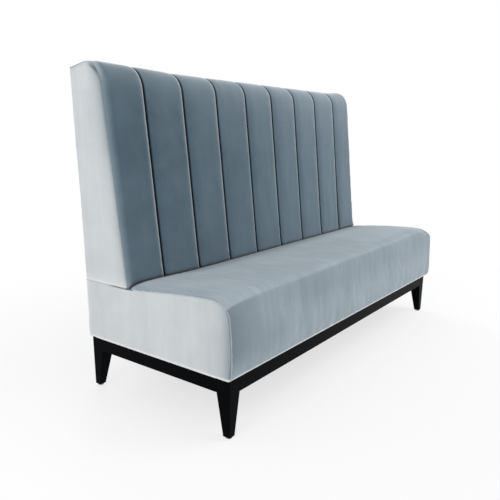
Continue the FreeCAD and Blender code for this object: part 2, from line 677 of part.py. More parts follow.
def channel_pad(left, right):
    """Foam of one channel, crowned between its seams."""
    ends = (left + FIT / 2, right - FIT / 2)
    wires = []
    for foot, outward, crown in back_stations():
        outer = channel_chain(ends, -(VELVET + FIT), crown)
        inner = [(ends[0], -(BOARD_INSET - FIT)), (None, (ends[1], -(BOARD_INSET - FIT)))]
        wires.append(band(outer, inner, in_section(foot, outward)))
    return Part.makeLoft(wires, True, True)


def back_outline(inset):
    """Side view of the back from its foot to the rear of its top."""
    angles = (BACK_TILT, (BACK_TILT + math.pi / 2) / 2, math.pi / 2)
    start, middle, end = [roll_point(angle, inset) for angle in angles]
    return [(face_place(BACK_BOTTOM, inset), BACK_BOTTOM), (None, start), (middle, end)]


def back_cover_right():
    outline = back_outline(0) + [(None, (HALF_DEPTH, REAR_TOP)), (None, (HALF_DEPTH, BACK_BOTTOM))]
    return side_cut(outline, (INNER_HALF + FIT, HALF_LENGTH))


def make_back_soft_parts():
    pieces["back_cover_channels"] = back_cover_channels()
    pieces["back_cover_right"] = back_cover_right()
    pieces["back_cover_left"] = mirrored(back_cover_right())
    pieces["back_cover_rear"] = box((-INNER_HALF, INNER_HALF), (REAR_FACE + FIT, HALF_DEPTH),
                                    (BACK_BOTTOM, REAR_TOP))
    seams = seam_places()
    for index in range(CHANNEL_COUNT):
        pieces["channel_pad_%d" % (index + 1)] = channel_pad(seams[index], seams[index + 1])


# Back frame

def upright(x):
    """Board between the bottom and top boards, raked in front and plumb behind."""
    low = BACK_BOTTOM + BOTTOM_BOARD
    inset = BOARD_INSET + FACE_BOARD
    outline = polygon(
        (face_place(low, inset), low), (BACK_BOARDS_REAR, low),
        (BACK_BOARDS_REAR, TOP_BOARD_BOTTOM), (face_place(TOP_BOARD_BOTTOM, inset), TOP_BOARD_BOTTOM),
    )
    return side_cut(outline, x)


def back_top_board():
    """Board whose front top edge is rounded for the channels to roll over."""
    outline = back_outline(BOARD_INSET)
    start = (face_place(TOP_BOARD_BOTTOM, BOARD_INSET), TOP_BOARD_BOTTOM)
    outline = [start] + outline[1:]
    outline += [(None, (BACK_BOARDS_REAR, REAR_BOARD_TOP)), (None, (BACK_BOARDS_REAR, TOP_BOARD_BOTTOM))]
    return side_cut(outline, (-INNER_HALF, INNER_HALF))


def make_back_frame():
    across = (-INNER_HALF, INNER_HALF)
    low = BACK_BOTTOM + BOTTOM_BOARD
    behind = BOARD_INSET + FACE_BOARD
    pieces["back_top_board"] = back_top_board()
    pieces["back_bottom_board"] = side_cut(polygon(
        (face_place(BACK_BOTTOM, behind), BACK_BOTTOM), (BACK_BOARDS_REAR, BACK_BOTTOM),
        (BACK_BOARDS_REAR, low), (face_place(low, behind), low)), across)
    pieces["back_face_board"] = side_cut(polygon(
        (face_place(BACK_BOTTOM, BOARD_INSET), BACK_BOTTOM), (face_place(BACK_BOTTOM, behind), BACK_BOTTOM),
        (face_place(TOP_BOARD_BOTTOM, behind), TOP_BOARD_BOTTOM),
        (face_place(TOP_BOARD_BOTTOM, BOARD_INSET), TOP_BOARD_BOTTOM)), across)
    pieces["back_rear_board"] = box(across, (BACK_BOARDS_REAR, REAR_FACE), (BACK_BOTTOM, REAR_BOARD_TOP))
    pieces["back_end_right"] = upright((FRAME_HALF, INNER_HALF))
    pieces["back_end_left"] = upright((-INNER_HALF, -FRAME_HALF))
    inner = []
    for share in UPRIGHT_SHARES:
        centre = share * FRAME_HALF
        inner.append(upright((centre - END_THICKNESS / 2, centre + END_THICKNESS / 2)))
    pieces["back_uprights"] = Part.Compound(inner)


def make_back_bolts():
    """Bolts up through the seat's ledge into T-nuts in the back's bottom board."""
    up = Vector(0, 0, 1)
    board_top = BACK_BOTTOM + BOTTOM_BOARD
    line = (face_place(BACK_BOTTOM, BOARD_INSET + FACE_BOARD) + BACK_BOARDS_REAR) / 2
    length = board_top - LEDGE_BOTTOM
    made = []
    for share in BACK_BOLT_SHARES:
        start = Vector(share * HALF_LENGTH, line, LEDGE_BOTTOM)
        top = Vector(share * HALF_LENGTH, line, board_top)
        under = start - up * BACK_BOLT_HEAD_THICKNESS
        head = hexagon(under, up, Vector(1, 0, 0), BACK_BOLT_HEAD_RADIUS, BACK_BOLT_HEAD_THICKNESS)
        shank = rod(BACK_BOLT_RADIUS, under, up, length + BACK_BOLT_HEAD_THICKNESS)
        made.append(shank.fuse(head).removeSplitter())
        barrel = rod(T_NUT_RADIUS, top - up * T_NUT_LENGTH, up, T_NUT_LENGTH)
        flange = rod(T_NUT_FLANGE_RADIUS, top, up, T_NUT_FLANGE_THICKNESS)
        bore = rod(BACK_BOLT_RADIUS + RUNNING_CLEARANCE, start, up, length + T_NUT_FLANGE_THICKNESS)
        made.append(barrel.fuse(flange).cut(bore).removeSplitter())
        drill(("seat_ledge_board", "seat_cover_main", "back_bottom_board"),
              BACK_BOLT_RADIUS + HOLE_CLEARANCE, start, up, length)
        drill(("back_bottom_board",), T_NUT_RADIUS + RUNNING_CLEARANCE, top - up * T_NUT_LENGTH, up,
              T_NUT_LENGTH)
    pieces["back_bolts"] = Part.Compound(made)


def save_all():
    """Writes one STEP file per named piece."""
    os.makedirs("parts", exist_ok=True)
    for name in sorted(pieces):
        shape = pieces[name]
        if not shape.isValid():
            print("not valid:", name)
        shape.exportStep("parts/" + name + ".step")
    print(len(pieces), "pieces")


make_seat_soft_parts()
make_seat_frame()
make_legs()
make_plinth_rails()
make_dowels()
make_corner_fastenings()
make_glides()
make_back_soft_parts()
make_back_frame()
make_plinth_screws()
make_back_bolts()
save_all()
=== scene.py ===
# %% [markdown]
# # A banquette bench in velvet
#
# The bench is a long upholstered seat under a tall back. Its timber, boards and fastenings come
# ready made from the CAD model, at their real size and place. What is left for Blender is the
# upholstery: nine sewn channels, a sprung seat, flat side panels, and the finish of every surface.
#
# The model loads first, as a frame that never moves. All lengths below are in metres, with X along
# the bench, the front facing -Y and Z up.

# %% Load the frame
import json
import math
from contextlib import contextmanager

import bpy
import bmesh
import numpy as np
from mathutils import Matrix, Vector, noise


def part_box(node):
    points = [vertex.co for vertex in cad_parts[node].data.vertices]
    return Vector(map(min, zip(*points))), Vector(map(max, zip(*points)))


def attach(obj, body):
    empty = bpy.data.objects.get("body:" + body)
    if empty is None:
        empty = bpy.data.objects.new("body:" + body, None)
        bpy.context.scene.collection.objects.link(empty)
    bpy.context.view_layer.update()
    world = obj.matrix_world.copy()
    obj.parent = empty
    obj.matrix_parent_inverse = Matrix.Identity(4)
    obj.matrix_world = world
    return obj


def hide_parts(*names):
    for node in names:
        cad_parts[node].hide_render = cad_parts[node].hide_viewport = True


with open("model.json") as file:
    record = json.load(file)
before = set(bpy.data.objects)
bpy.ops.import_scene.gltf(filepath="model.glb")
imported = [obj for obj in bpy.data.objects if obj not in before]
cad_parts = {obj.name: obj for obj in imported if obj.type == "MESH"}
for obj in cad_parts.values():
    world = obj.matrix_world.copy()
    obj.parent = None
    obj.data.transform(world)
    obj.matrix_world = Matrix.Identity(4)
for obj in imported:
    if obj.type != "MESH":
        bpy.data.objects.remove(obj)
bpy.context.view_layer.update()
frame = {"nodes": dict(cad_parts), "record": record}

# %% [markdown]
# The CAD model also holds plain solids for the upholstery. Their boxes say how much room each soft
# piece has. The few values that a box can't show, such as a radius or a crown, are written here.

# %% Sizes of the seat and the back
seat_low, seat_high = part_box("seat_cover_main")
seat_end_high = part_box("seat_cover_left")[1]
back_low, back_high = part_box("back_cover_channels")
back_end_low, back_end_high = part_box("back_cover_left")

HALF_LENGTH = -back_end_low.x
INNER_HALF = back_high.x
HALF_DEPTH = seat_end_high.y
HEM_LEVEL = seat_low.z
SEAT_HEIGHT = seat_end_high.z
LEDGE_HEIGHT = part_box("seat_cover_rear")[1].z
SEAM_TOP = back_end_high.z
REAR_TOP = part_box("back_cover_rear")[1].z
BACK_BOTTOM = back_low.z
BACK_FRONT = back_end_low.y
BACK_REAR = back_high.y

SIDE_PANEL = 0.006
VELVET = 0.002
GAP = 0.0003
BACK_TOP_DEPTH = 0.145
BACK_ROLL_RADIUS = 0.075
CHANNEL_COUNT = 9
CHANNEL_WRAP = 0.021
CHANNEL_CROWN = 0.014
CHANNEL_TOP_CROWN = 0.0035
FRONT_CROWN = 0.004
SEAT_EDGE_RADIUS = 0.036
HEM_RADIUS = 0.014
SEAT_CROWN = seat_high.z - SEAT_HEIGHT
SEAT_CROWN_RUN = 0.200
LEDGE_FRONT = BACK_FRONT - CHANNEL_CROWN
SEAT_FACE = -HALF_DEPTH + FRONT_CROWN
print("seat edge %.3f, ledge %.3f, back from %.3f to %.3f" % (
    SEAT_HEIGHT, LEDGE_HEIGHT, BACK_BOTTOM, back_high.z))

# %% [markdown]
# ## Ways of working
#
# Every piece starts as a primitive and is shaped with Blender's own operators. An operator works on
# whatever is selected, so each piece starts with nothing selected, and edges or faces are then
# picked by where they lie.

# %% Start, pick and finish a piece
def give(owner, **values):
    for key, value in values.items():
        setattr(owner, key, value)


def start(name, add, **size):
    """Adds a primitive with nothing else selected, and names it."""
    bpy.ops.object.select_all(action="DESELECT")
    add(**size)
    piece = bpy.context.object
    piece.name = piece.data.name = name
    return piece


def block(name, size, centre):
    """A box of one size at one place, with its scale applied."""
    piece = start(name, bpy.ops.mesh.primitive_cube_add, size=1.0, location=centre)
    bpy.ops.transform.resize(value=size)
    bpy.ops.object.transform_apply(location=True, rotation=True, scale=True)
    return piece


def only(piece):
    bpy.ops.object.select_all(action="DESELECT")
    piece.select_set(True)
    bpy.context.view_layer.objects.active = piece


def joined(piece, *others):
    """One piece out of several, under the name of the first."""
    only(piece)
    for other in others:
        other.select_set(True)
    bpy.ops.object.join()
    return piece


@contextmanager
def editing(piece):
    """Edit mode on one piece, with all of it selected."""
    only(piece)
    bpy.ops.object.mode_set(mode="EDIT")
    bpy.ops.mesh.select_all(action="SELECT")
    yield
    bpy.ops.object.mode_set(mode="OBJECT")


def cut_along(piece, axis, cuts):
    """In edit mode, subdivides the edges that run along one axis."""
    bpy.ops.mesh.select_mode(type="EDGE")
    mesh = bmesh.from_edit_mesh(piece.data)
    for edge in mesh.edges:
        a, b = (vertex.co for vertex in edge.verts)
        edge.select = abs((b - a).normalized()[axis]) > 0.99
    mesh.select_flush_mode()
    bmesh.update_edit_mesh(piece.data)
    bpy.ops.mesh.subdivide(number_cuts=cuts)


def move_points(piece, rule):
    """Moves every vertex to where a rule puts it."""
    for vertex in piece.data.vertices:
        vertex.co = rule(*vertex.co)
    piece.data.update()


def outward_normals(piece):
    with editing(piece):
        bpy.ops.mesh.remove_doubles(threshold=0.00002)
        bpy.ops.mesh.normals_make_consistent(inside=False)


def finish_with(piece, kind, **settings):
    """Adds a modifier, sets it and applies it."""
    only(piece)
    modifier = piece.modifiers.new(kind, kind)
    give(modifier, **settings)
    bpy.ops.object.modifier_apply(modifier=modifier.name)


def smooth(piece, degrees):
    only(piece)
    bpy.ops.object.shade_smooth_by_angle(angle=math.radians(degrees))


def placed(piece, material, slot, *stands_for):
    """Gives a piece its finish, puts it on the bench's body, and hides the CAD nodes it stands for."""
    piece.data.materials.append(material)
    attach(piece, "bench")
    if stands_for:
        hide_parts(*stands_for)
    print("%s: %d faces" % (piece.name, len(piece.data.polygons)))
    return piece


# %% [markdown]
# Cloth is never quite flat. Two rules of unevenness serve all the panels: a slow swell, as foam
# gives, and short puckers that die out a few centimetres from a seam, where the thread draws
# the cloth in. Three shares from 0 to 1 blend one form into the next: `ease` starts and ends
# softly, `bell` dies out on both sides of a line, and `fade` dies out on one side.

# %% Unevenness of cloth
def clamp(share):
    return min(1.0, max(0.0, share))


def ease(share):
    share = clamp(share)
    return share * share * (3 - 2 * share)


def bell(away, reach):
    return math.exp(-(away / reach) ** 2)


def fade(away, reach):
    return math.exp(-max(0.0, away) / reach)


def round_edge(away, reach):
    """A quarter round, from 0 at an edge to 1 at its reach."""
    left = 1 - clamp(away / reach)
    return math.sqrt(1 - left * left)


def swell(point, height, size, seed):
    """Slow waves of about one size."""
    return height * noise.noise(Vector(point) / size + Vector((seed, 2.3 * seed, 0)))


def pucker(along, away, height, pitch, reach, seed, slant=0.0):
    """Short folds across a seam, a distance away from it."""
    wave = noise.noise(Vector(((along + slant * away) / pitch, seed, 0.3 * away / reach)))
    return height * wave * bell(away, reach)


def store(piece, name, values):
    """Keeps a number on each vertex, which the piece's material can read."""
    piece.data.attributes.new(name, "FLOAT", "POINT").data.foreach_set("value", values)


def weigh(piece, **rules):
    for name in ("seam", "crest", "turn"):
        rule = rules.get(name, lambda *place: 0.0)
        store(piece, name, [rule(*vertex.co) for vertex in piece.data.vertices])


# %% [markdown]
# ## Writing materials
#
# A material is a small graph of nodes, and so is the world. `Graph` adds nodes by one method, and
# `Level` wraps a number that varies over the surface, so that `1 - mask * 0.4` simply adds the
# Math nodes that it needs. `Paint` is the graph of one material.

# %% Level, Graph and Paint
class Level:
    """A number that varies over a surface."""

    def __init__(self, graph, socket):
        self.graph = graph
        self.socket = socket

    def math(self, operation, *values):
        return self.graph.node("ShaderNodeMath", dict(enumerate(values)), operation=operation)

    def __add__(self, other):
        return self.math("ADD", self, other)

    def __sub__(self, other):
        return self.math("SUBTRACT", self, other)

    def __rsub__(self, other):
        return self.math("SUBTRACT", other, self)

    def __mul__(self, other):
        return self.math("MULTIPLY", self, other)

    __radd__ = __add__

    def between(self, low, high):
        """0 below one value and 1 above another, eased in the middle."""
        sockets = {"Value": self, "From Min": low, "From Max": high}
        return self.graph.node("ShaderNodeMapRange", sockets, interpolation_type="SMOOTHSTEP")


class Graph:
    """A tree of nodes under construction."""

    def __init__(self, tree):
        self.tree = tree

    def feed(self, socket, value):
        if isinstance(value, Level):
            self.tree.links.new(value.socket, socket)
        else:
            socket.default_value = value

    def node(self, kind, sockets, out=0, **settings):
        """Adds a node: its settings first, then the values or links of its sockets."""
        made = self.tree.nodes.new(kind)
        give(made, **settings)
        for key, value in sockets.items():
            self.feed(made.inputs[key], value)
        return Level(self, made.outputs[out])

    def show(self, surface):
        self.feed(self.tree.get_output_node("ALL").inputs["Surface"], surface)


class Paint(Graph):
    """A material under construction."""

    def __init__(self, name, roughness=0.5):
        self.material = bpy.data.materials.new(name)
        self.material.use_nodes = True
        super().__init__(self.material.node_tree)
        self.shader = self.tree.nodes["Principled BSDF"]
        self.set(Roughness=roughness)
        self.place = self.node("ShaderNodeTexCoord", {}, out="Object")

    def set(self, **sockets):
        """Sets the shader's own sockets, named with an underscore for each blank."""
        for key, value in sockets.items():
            self.feed(self.shader.inputs[key.replace("_", " ")], value)

    def stretched(self, x, y, z):
        """The place on the piece with each axis at its own scale."""
        return self.node("ShaderNodeVectorMath", {0: self.place, 1: (x, y, z)}, operation="MULTIPLY")

    def noise(self, scale, place=None, detail=2.0, roughness=0.5):
        sockets = {"Vector": place or self.place, "Scale": scale, "Detail": detail, "Roughness": roughness}
        return self.node("ShaderNodeTexNoise", sockets)

    def mix(self, mask, first, second):
        """One colour where the mask is 0 and another where it is 1."""
        return self.node("ShaderNodeMix", {0: mask, 6: first, 7: second}, out=2, data_type="RGBA")

    def attribute(self, name):
        return self.node("ShaderNodeAttribute", {}, out="Fac", attribute_name=name)

    def bump(self, height, strength, distance):
        return self.node("ShaderNodeBump", {"Height": height, "Strength": strength, "Distance": distance})


def colour(tone, share=1.0):
    """A share of a tone as a screen shows it, 0 to 255, as the linear values that a shader takes."""
    return tuple((part * share / 255) ** 2.2 for part in tone) + (1.0,)


# %% [markdown]
# ## Velvet
#
# Velvet is a short cut pile on a woven ground. Its colour depends on which way the pile lies: brushed
# one way it looks pale, the other way deep. So one cloth gets a tone for each panel: the channels look
# deep, the seat mid grey-blue, and the ends pale. These tones are partly the pile's lie and partly
# painted light and shade: the pale ends carry painted light from the lamp at the left, and the deep
# channels carry painted shade. Soft streaks and patches are places where the pile was stroked. A cloth
# may also drift to a paler tone along the bench, painted light from the right and the sheen of a
# grazing view, and towards its foot, painted light that lifts the shade by the seat.
#
# Three numbers that a piece carries do the rest. `seam` is 1 down in a seam and on hidden faces, where
# painted shade makes the cloth read almost black. The second is 1 on the ridge beside a seam and on a
# hem, a painted highlight that reads pale. The third mixes in a third tone: painted light over the top
# and the outer corners of the channels, and painted shade on the seat and near the front of the end
# panels. Sheen on the shader adds the rim of light that velvet has at a grazing angle.

# %% The velvets
def velvet(name, deep, pale, turned, streaks, streak_scale, sheen, streak_share=0.4, painted_light_tone=None):
    paint = Paint(name)
    stroked = paint.noise(streak_scale, paint.stretched(*streaks), detail=3.0, roughness=0.6)
    patches = paint.noise(6.0, detail=4.0, roughness=0.6)
    pile = paint.noise(900.0, roughness=0.7)
    ground = paint.noise(260.0, paint.stretched(1.0, 1.0, 0.35))
    lie = (stroked.between(0.34, 0.66) * streak_share + patches.between(0.3, 0.7) * (0.84 - streak_share)
           + pile.between(0.25, 0.75) * 0.1 + ground.between(0.3, 0.7) * 0.06)
    cloth = paint.mix(lie, colour(deep), colour(pale))
    # Painted light: the cloth drifts paler to the right along the bench, for the light and grazing sheen there,
    # and paler towards the foot, lifting the shade by the seat.
    if painted_light_tone:
        along, up = (paint.node("ShaderNodeSeparateXYZ", {"Vector": paint.place}, out=axis)
                     for axis in "XZ")
        painted_light_drift = along.between(-0.9, 0.9) * 0.32 + (1 - up.between(0.45, 0.95)) * 0.17
        cloth = paint.mix(painted_light_drift, cloth, colour(painted_light_tone))
    # The tone of the painted highlight.
    highlight_tone = [min(244, 0.5 * tone + 144) for tone in pale]
    # Painted light and shade, then the painted highlight, then painted shade near black in the seams.
    cloth = paint.mix(paint.attribute("turn"), cloth, colour(turned))
    cloth = paint.mix(paint.attribute("crest"), cloth, colour(highlight_tone))
    cloth = paint.mix(paint.attribute("seam"), cloth, colour(deep, 0.12))
    paint.set(Base_Color=cloth, Normal=paint.bump(pile * 0.6 + ground * 0.4, 0.3, 0.0005),
              Roughness=0.94 - lie * 0.12, Specular_IOR_Level=0.12,
              Sheen_Weight=sheen, Sheen_Roughness=0.42, Sheen_Tint=colour((222, 228, 232)))
    return paint.material


OVER = (1.0, 0.1, 0.1)              # streaks that run up a front and back over a top
UPRIGHT = (1.0, 1.0, 0.12)          # streaks that run up an end panel
# Each panel's tones are partly the pile's lie and partly painted light and shade: pale on the ends, where the
# left lamp falls, and deep on the channels.
velvet_channel = velvet("velvet_channel", (65, 83, 95), (84, 103, 115), (158, 172, 180), OVER, 9.0, 0.9,
                        streak_share=0.3, painted_light_tone=(124, 143, 155))
velvet_seat = velvet("velvet_seat", (144, 157, 165), (166, 178, 186), (116, 130, 139), OVER, 42.0, 0.45)
velvet_end = velvet("velvet_end", (195, 201, 203), (212, 217, 219), (122, 136, 146), UPRIGHT, 14.0, 0.12)
velvet_rear = velvet("velvet_rear", (118, 132, 142), (134, 148, 157), (150, 161, 168), OVER, 12.0, 0.4)
print("velvets:", velvet_channel.name, velvet_seat.name, velvet_end.name, velvet_rear.name)

# %% [markdown]
# ## The back's form
#
# Seen from its end, the back is a raked face that rolls over a rounded top edge and runs level to
# the rear. A channel is sewn flat and only then drawn over that form. So the form is a rule: it
# takes a distance along the cloth, from the back's foot, and gives the place and the outward way.
# Three more rules bend it as the cloth does: the top rises to its corners, the rear leans back a
# little, and the joint with the seat isn't level at the left.

# %% A place on the back
BACK_TILT = math.atan((HALF_DEPTH - BACK_FRONT - BACK_TOP_DEPTH) / (back_high.z - LEDGE_HEIGHT))
CORNER_PEAK = {-1: (0.0108, 0.50), 1: (0.009, 0.14)}    # height, and reach from the end
REAR_LEAN = 0.0195                  # metres back for each metre up
LEAN_LEVEL = 0.77
JOINT_SWELL = 0.008
JOINT_DROP = 0.0075

roll_level = SEAM_TOP - BACK_ROLL_RADIUS
roll_depth = (BACK_FRONT + (roll_level - LEDGE_HEIGHT) * math.tan(BACK_TILT)
              + BACK_ROLL_RADIUS / math.cos(BACK_TILT))
face_end_z = roll_level + BACK_ROLL_RADIUS * math.sin(BACK_TILT)
face_run = (face_end_z - BACK_BOTTOM) / math.cos(BACK_TILT)
roll_end = math.pi / 2 + math.atan((SEAM_TOP - REAR_TOP) / (BACK_REAR - roll_depth))
roll_run = BACK_ROLL_RADIUS * (roll_end - BACK_TILT)
top_run = (BACK_REAR - roll_depth + BACK_ROLL_RADIUS * math.cos(roll_end)) / math.sin(roll_end)
channel_run = face_run + roll_run + top_run


def on_back(run):
    """Depth and height of the seam plane, and its outward way."""
    angle = min(roll_end, BACK_TILT + max(0.0, run - face_run) / BACK_ROLL_RADIUS)
    past = min(0.0, run - face_run) + max(0.0, run - face_run - roll_run)
    place = (roll_depth - BACK_ROLL_RADIUS * math.cos(angle) + past * math.sin(angle),
             roll_level + BACK_ROLL_RADIUS * math.sin(angle) + past * math.cos(angle))
    return place, (-math.cos(angle), math.sin(angle))


def crown_share(run):
    """How full a channel is: full up the face, and drawn down over the roll."""
    return 1 - (1 - CHANNEL_TOP_CROWN / CHANNEL_CROWN) * ease((run - face_run + 0.03) / (roll_run + 0.02))


def corner_peak(x, y, z):
    """How much the cover's folds raise the back's top towards its two ends."""
    height, reach = CORNER_PEAK[-1 if x < 0 else 1]
    on_top = ease((z - roll_level) / BACK_ROLL_RADIUS) ** (2 if x < 0 else 1)
    behind = ease((y - roll_depth) / (BACK_REAR - roll_depth))
    return height * on_top * (1 - 0.45 * behind) * (1 - ease((HALF_LENGTH - abs(x)) / reach))


def rear_lean(z, share=1.0):
    """How far the back's rear leans back at a height, for a share of the way from front to rear."""
    return max(0.0, REAR_LEAN * (z - LEAN_LEVEL)) * ease(share)


def joint_level(x):
    """The joint of back and seat, above its nominal level: low at the left end, full just inside it."""
    inside = INNER_HALF + x
    near = 1 - fade(inside, 0.009)
    return near * JOINT_SWELL * (1 - ease((inside - 0.08) / 0.32)) - (1 - near) * JOINT_DROP


def to_seam(x):
    """How far a point lies inside the seam with the nearer end panel."""
    return INNER_HALF - abs(x)


rear_top = on_back(channel_run)[0][1]
print("a channel's cloth runs %.3f m, tilt %.1f degrees, rear edge at %.3f" % (
    channel_run, math.degrees(BACK_TILT), rear_top))

# %% [markdown]
# ## Channels
#
# A channel is a long narrow pocket with a pad of foam in it. The pad is made flat: a box as wide as
# the seams are apart, cut into a fine grid, with a rounded front. Blender's cloth solver then blows
# it up a little while its seams stay pinned, and the cloth is cut slightly too large. So it puckers
# along its seams as real cloth does. A cap keeps the swelling to a few millimetres.

# %% A cloth simulation for a pad
CLOTH = dict(quality=6, mass=0.25, tension_stiffness=18, compression_stiffness=18, shear_stiffness=6,
             bending_stiffness=0.4, use_pressure=True, vertex_group_mass="pins")
LAST_FRAME = 20


def blown_up(piece, pinned, pressure, spare, cap):
    """Runs the cloth solver on a pad whose seams are pinned, and keeps each move below a cap."""
    pins = piece.vertex_groups.new(name="pins")
    pins.add([vertex.index for vertex in piece.data.vertices if pinned(*vertex.co)], 1.0, "REPLACE")
    before = np.array([vertex.co for vertex in piece.data.vertices])
    modifier = piece.modifiers.new("Cloth", "CLOTH")
    give(modifier.settings, **CLOTH, uniform_pressure_force=pressure, shrink_min=-spare)
    modifier.settings.effector_weights.gravity = 0
    modifier.collision_settings.use_collision = False
    give(modifier.point_cache, frame_start=1, frame_end=LAST_FRAME)
    for step in range(1, LAST_FRAME + 1):
        bpy.context.scene.frame_set(step)
    solved = piece.evaluated_get(bpy.context.evaluated_depsgraph_get())
    after = np.array([vertex.co for vertex in solved.data.vertices])
    piece.modifiers.remove(modifier)
    piece.vertex_groups.remove(pins)
    bpy.context.scene.frame_set(1)
    move = after - before
    length = np.linalg.norm(move, axis=1, keepdims=True)
    move *= cap * np.tanh(length / cap) / np.maximum(length, 1e-9)
    piece.data.vertices.foreach_set("co", (before + move).ravel())
    piece.data.update()
    print("%s: cloth moved up to %.1f mm" % (piece.name, 1000 * np.abs(length).max()))


# %% The flat pad
pitch = 2 * (INNER_HALF + CHANNEL_WRAP) / CHANNEL_COUNT
pad_width = pitch - 2 * GAP
pad_depth = 0.0240
pad_edge_radius = 0.010
pad_swell = 0.002
PAD_CUTS = (25, 111, 1)             # across, along and through the pad

flat_pad = block("flat_pad", (pad_width, channel_run, pad_depth), (0, channel_run / 2, -pad_depth / 2))
with editing(flat_pad):
    for axis, cuts in enumerate(PAD_CUTS):
        cut_along(flat_pad, axis, cuts)


def rounded_front(x, y, z):
    """Closer rows towards the seams, and a front that rises steeply from them and flattens out."""
    away = pad_width / 2 * max(0.0, 1 - abs(x) / (pad_width / 2)) ** 2.2
    across = math.copysign(pad_width / 2 - away, x)
    fullness = pad_edge_radius * round_edge(away, pad_edge_radius)
    crown = (CHANNEL_CROWN - pad_edge_radius - pad_swell) * (1 - (across / (pad_width / 2)) ** 2)
    return across, y, z + (fullness + crown) * ease((z + pad_depth) / pad_depth)


move_points(flat_pad, rounded_front)
blown_up(flat_pad, lambda x, y, z: z < 0.001, pressure=4.0, spare=0.006, cap=0.0035)
print("flat pad:", len(flat_pad.data.vertices), "points")

# %% [markdown]
# The pad is copied nine times, each copy with its own mesh. Every other copy is mirrored and each
# gets its own slow swell, so no two channels are alike. The first and the last channel also roll
# over towards the end panel, where the cover has no groove but a full soft corner.

# %% Nine channels on the back
CORNER_REACH = 0.028
CORNER_TUCK = 0.0035
TOP_BAND = (0.055, 0.115)           # how far down the painted light over the top fades, left and right
FOOT_WRINKLES = (0.15, 0.25)        # where the last channel is wrinkled, up from its foot
WRINKLE_PITCH = 0.024
# How far the painted shade in a groove reaches and how softly it ends, on each side of a seam.
SHADED_SIDE = (0.0075, 0.0045)      # a groove's reach and softness, left of a channel
LIT_SIDE = (0.0028, 0.002)          # and right of it, where the light falls in


def wrinkles(run, away):
    """Short slanted folds beside the last seam, near the seat."""
    low, high = FOOT_WRINKLES
    there = ease((run - low) / 0.03) * ease((high - run) / 0.03) * bell(away - 0.030, 0.028)
    return 0.0032 * there * math.sin((run + 0.8 * away) * 2 * math.pi / WRINKLE_PITCH)


def channel(index):
    """One channel: the flat pad, made its own, drawn over the back's form."""
    piece = flat_pad.copy()
    piece.data = flat_pad.data.copy()
    piece.name = piece.data.name = "channel_%d" % (index + 1)
    bpy.context.collection.objects.link(piece)
    side = -1 if index % 2 else 1
    centre = pitch * (index - (CHANNEL_COUNT - 1) / 2)
    last = index == CHANNEL_COUNT - 1
    outer = -1 if index == 0 else 1 if last else 0
    band = TOP_BAND[0] + (TOP_BAND[1] - TOP_BAND[0]) * (index / (CHANNEL_COUNT - 1)) ** 0.7
    marks = {"seam": [], "crest": [], "turn": []}

    def mark(across, run, away, front, at_corner, over):
        """How much painted shade, painted highlight and painted light the cloth gets at one point."""
        # Painted light on a band below the top, wider towards the right.
        up = fade(face_run + roll_run - run, band)
        reach, soft = SHADED_SIDE if across < 0 else LIT_SIDE
        groove = ridge = corner = shade = 0.0
        # An outer corner gets painted light as it rounds towards the end; elsewhere the groove gets painted
        # shade and the ridge on its right a painted highlight.
        if at_corner:
            corner = 0.5 * max(0.0, 1 - away / 0.026) ** 2 + 0.25 * over * ease((0.014 - away) / 0.010)
        else:
            groove = ease((reach - away) / soft)
            if across >= 0:
                ridge = ease((away - 0.0008) / 0.0015) * ease((0.018 - away) / 0.009)
        # Painted shade at the foot, by the seat, and on the last channel's left flank low down.
        foot = 0.95 * ease((0.010 - run) / 0.005)
        if last and across < 0:
            shade = 0.45 * ease((0.016 - away) / 0.012) * ease((0.26 - run) / 0.08)
        # On the hidden back: painted shade except at the outer corners, and a share of painted light.
        marks["seam"].append(max(groove * (1 - 0.2 * up), foot, shade) if front else float(not at_corner))
        marks["crest"].append(0.6 * ridge if front else 0.0)
        marks["turn"].append(min(1.0, corner + 0.79 * up) if front else 0.7)

    def drawn_over(x, y, height):
        across, run = side * x, min(channel_run, max(0.0, y))
        at_corner = across * outer > 0
        half = pad_width / 2
        if at_corner:
            across -= outer * CHANNEL_WRAP * (across / half) ** 2
            half -= CHANNEL_WRAP
        away = half - abs(across)
        front = height > -0.001
        over = ease((run - face_run - 0.012) / 0.03) * ease((face_run + roll_run - run) / 0.03)
        mark(across, run, away, front, at_corner, over)
        if front:
            height += ease(away / 0.02) * swell((across * 3, run, index), 0.0014, 0.12, 3.1 * index)
            if last and across < 0:
                height += wrinkles(run, away)
            height *= crown_share(run)
        run += joint_level(centre + across) * (1 - ease(run / 0.06))
        place, way = on_back(run)
        if front and at_corner:
            foot_square = 1 - ease(run / 0.04)
            height *= 0.3 + 0.7 * max(foot_square, round_edge(away, CORNER_REACH))
            height += 0.85 * foot_square * (CHANNEL_CROWN - height)
            height += pucker(run, away, 0.0016, 0.019, 0.018, 71.0 + index, slant=0.9)
            height -= 0.0030 * over * bell(away - 0.015, 0.004)
            across += outer * 0.003 * ease((height + 0.0025) / 0.0015) * ease((0.014 - away) / 0.014)
        x, y, z = centre + across, place[0] + way[0] * height, place[1] + way[1] * height
        y += rear_lean(z, (place[0] - roll_depth) / (BACK_REAR - roll_depth))
        return x, y, z + corner_peak(x, y, z)

    move_points(piece, drawn_over)
    for name, values in marks.items():
        store(piece, name, values)
    outward_normals(piece)
    finish_with(piece, "SUBSURF", levels=1, render_levels=1)
    smooth(piece, 60)
    stands_for = ["channel_pad_%d" % (index + 1)]
    if index == 0:
        stands_for.append("back_cover_channels")
    return placed(piece, velvet_channel, "velvet", *stands_for)


channels = [channel(index) for index in range(CHANNEL_COUNT)]
bpy.data.objects.remove(flat_pad)

# %% [markdown]
# ## Panels
#
# The ends and the rear are flat panels. A grid is the right start: its rows are moved so that the
# first and last lie on the panel's two long edges, and the rest between them. Solidify then gives
# the cloth its thickness, and Bevel the soft turned edge.

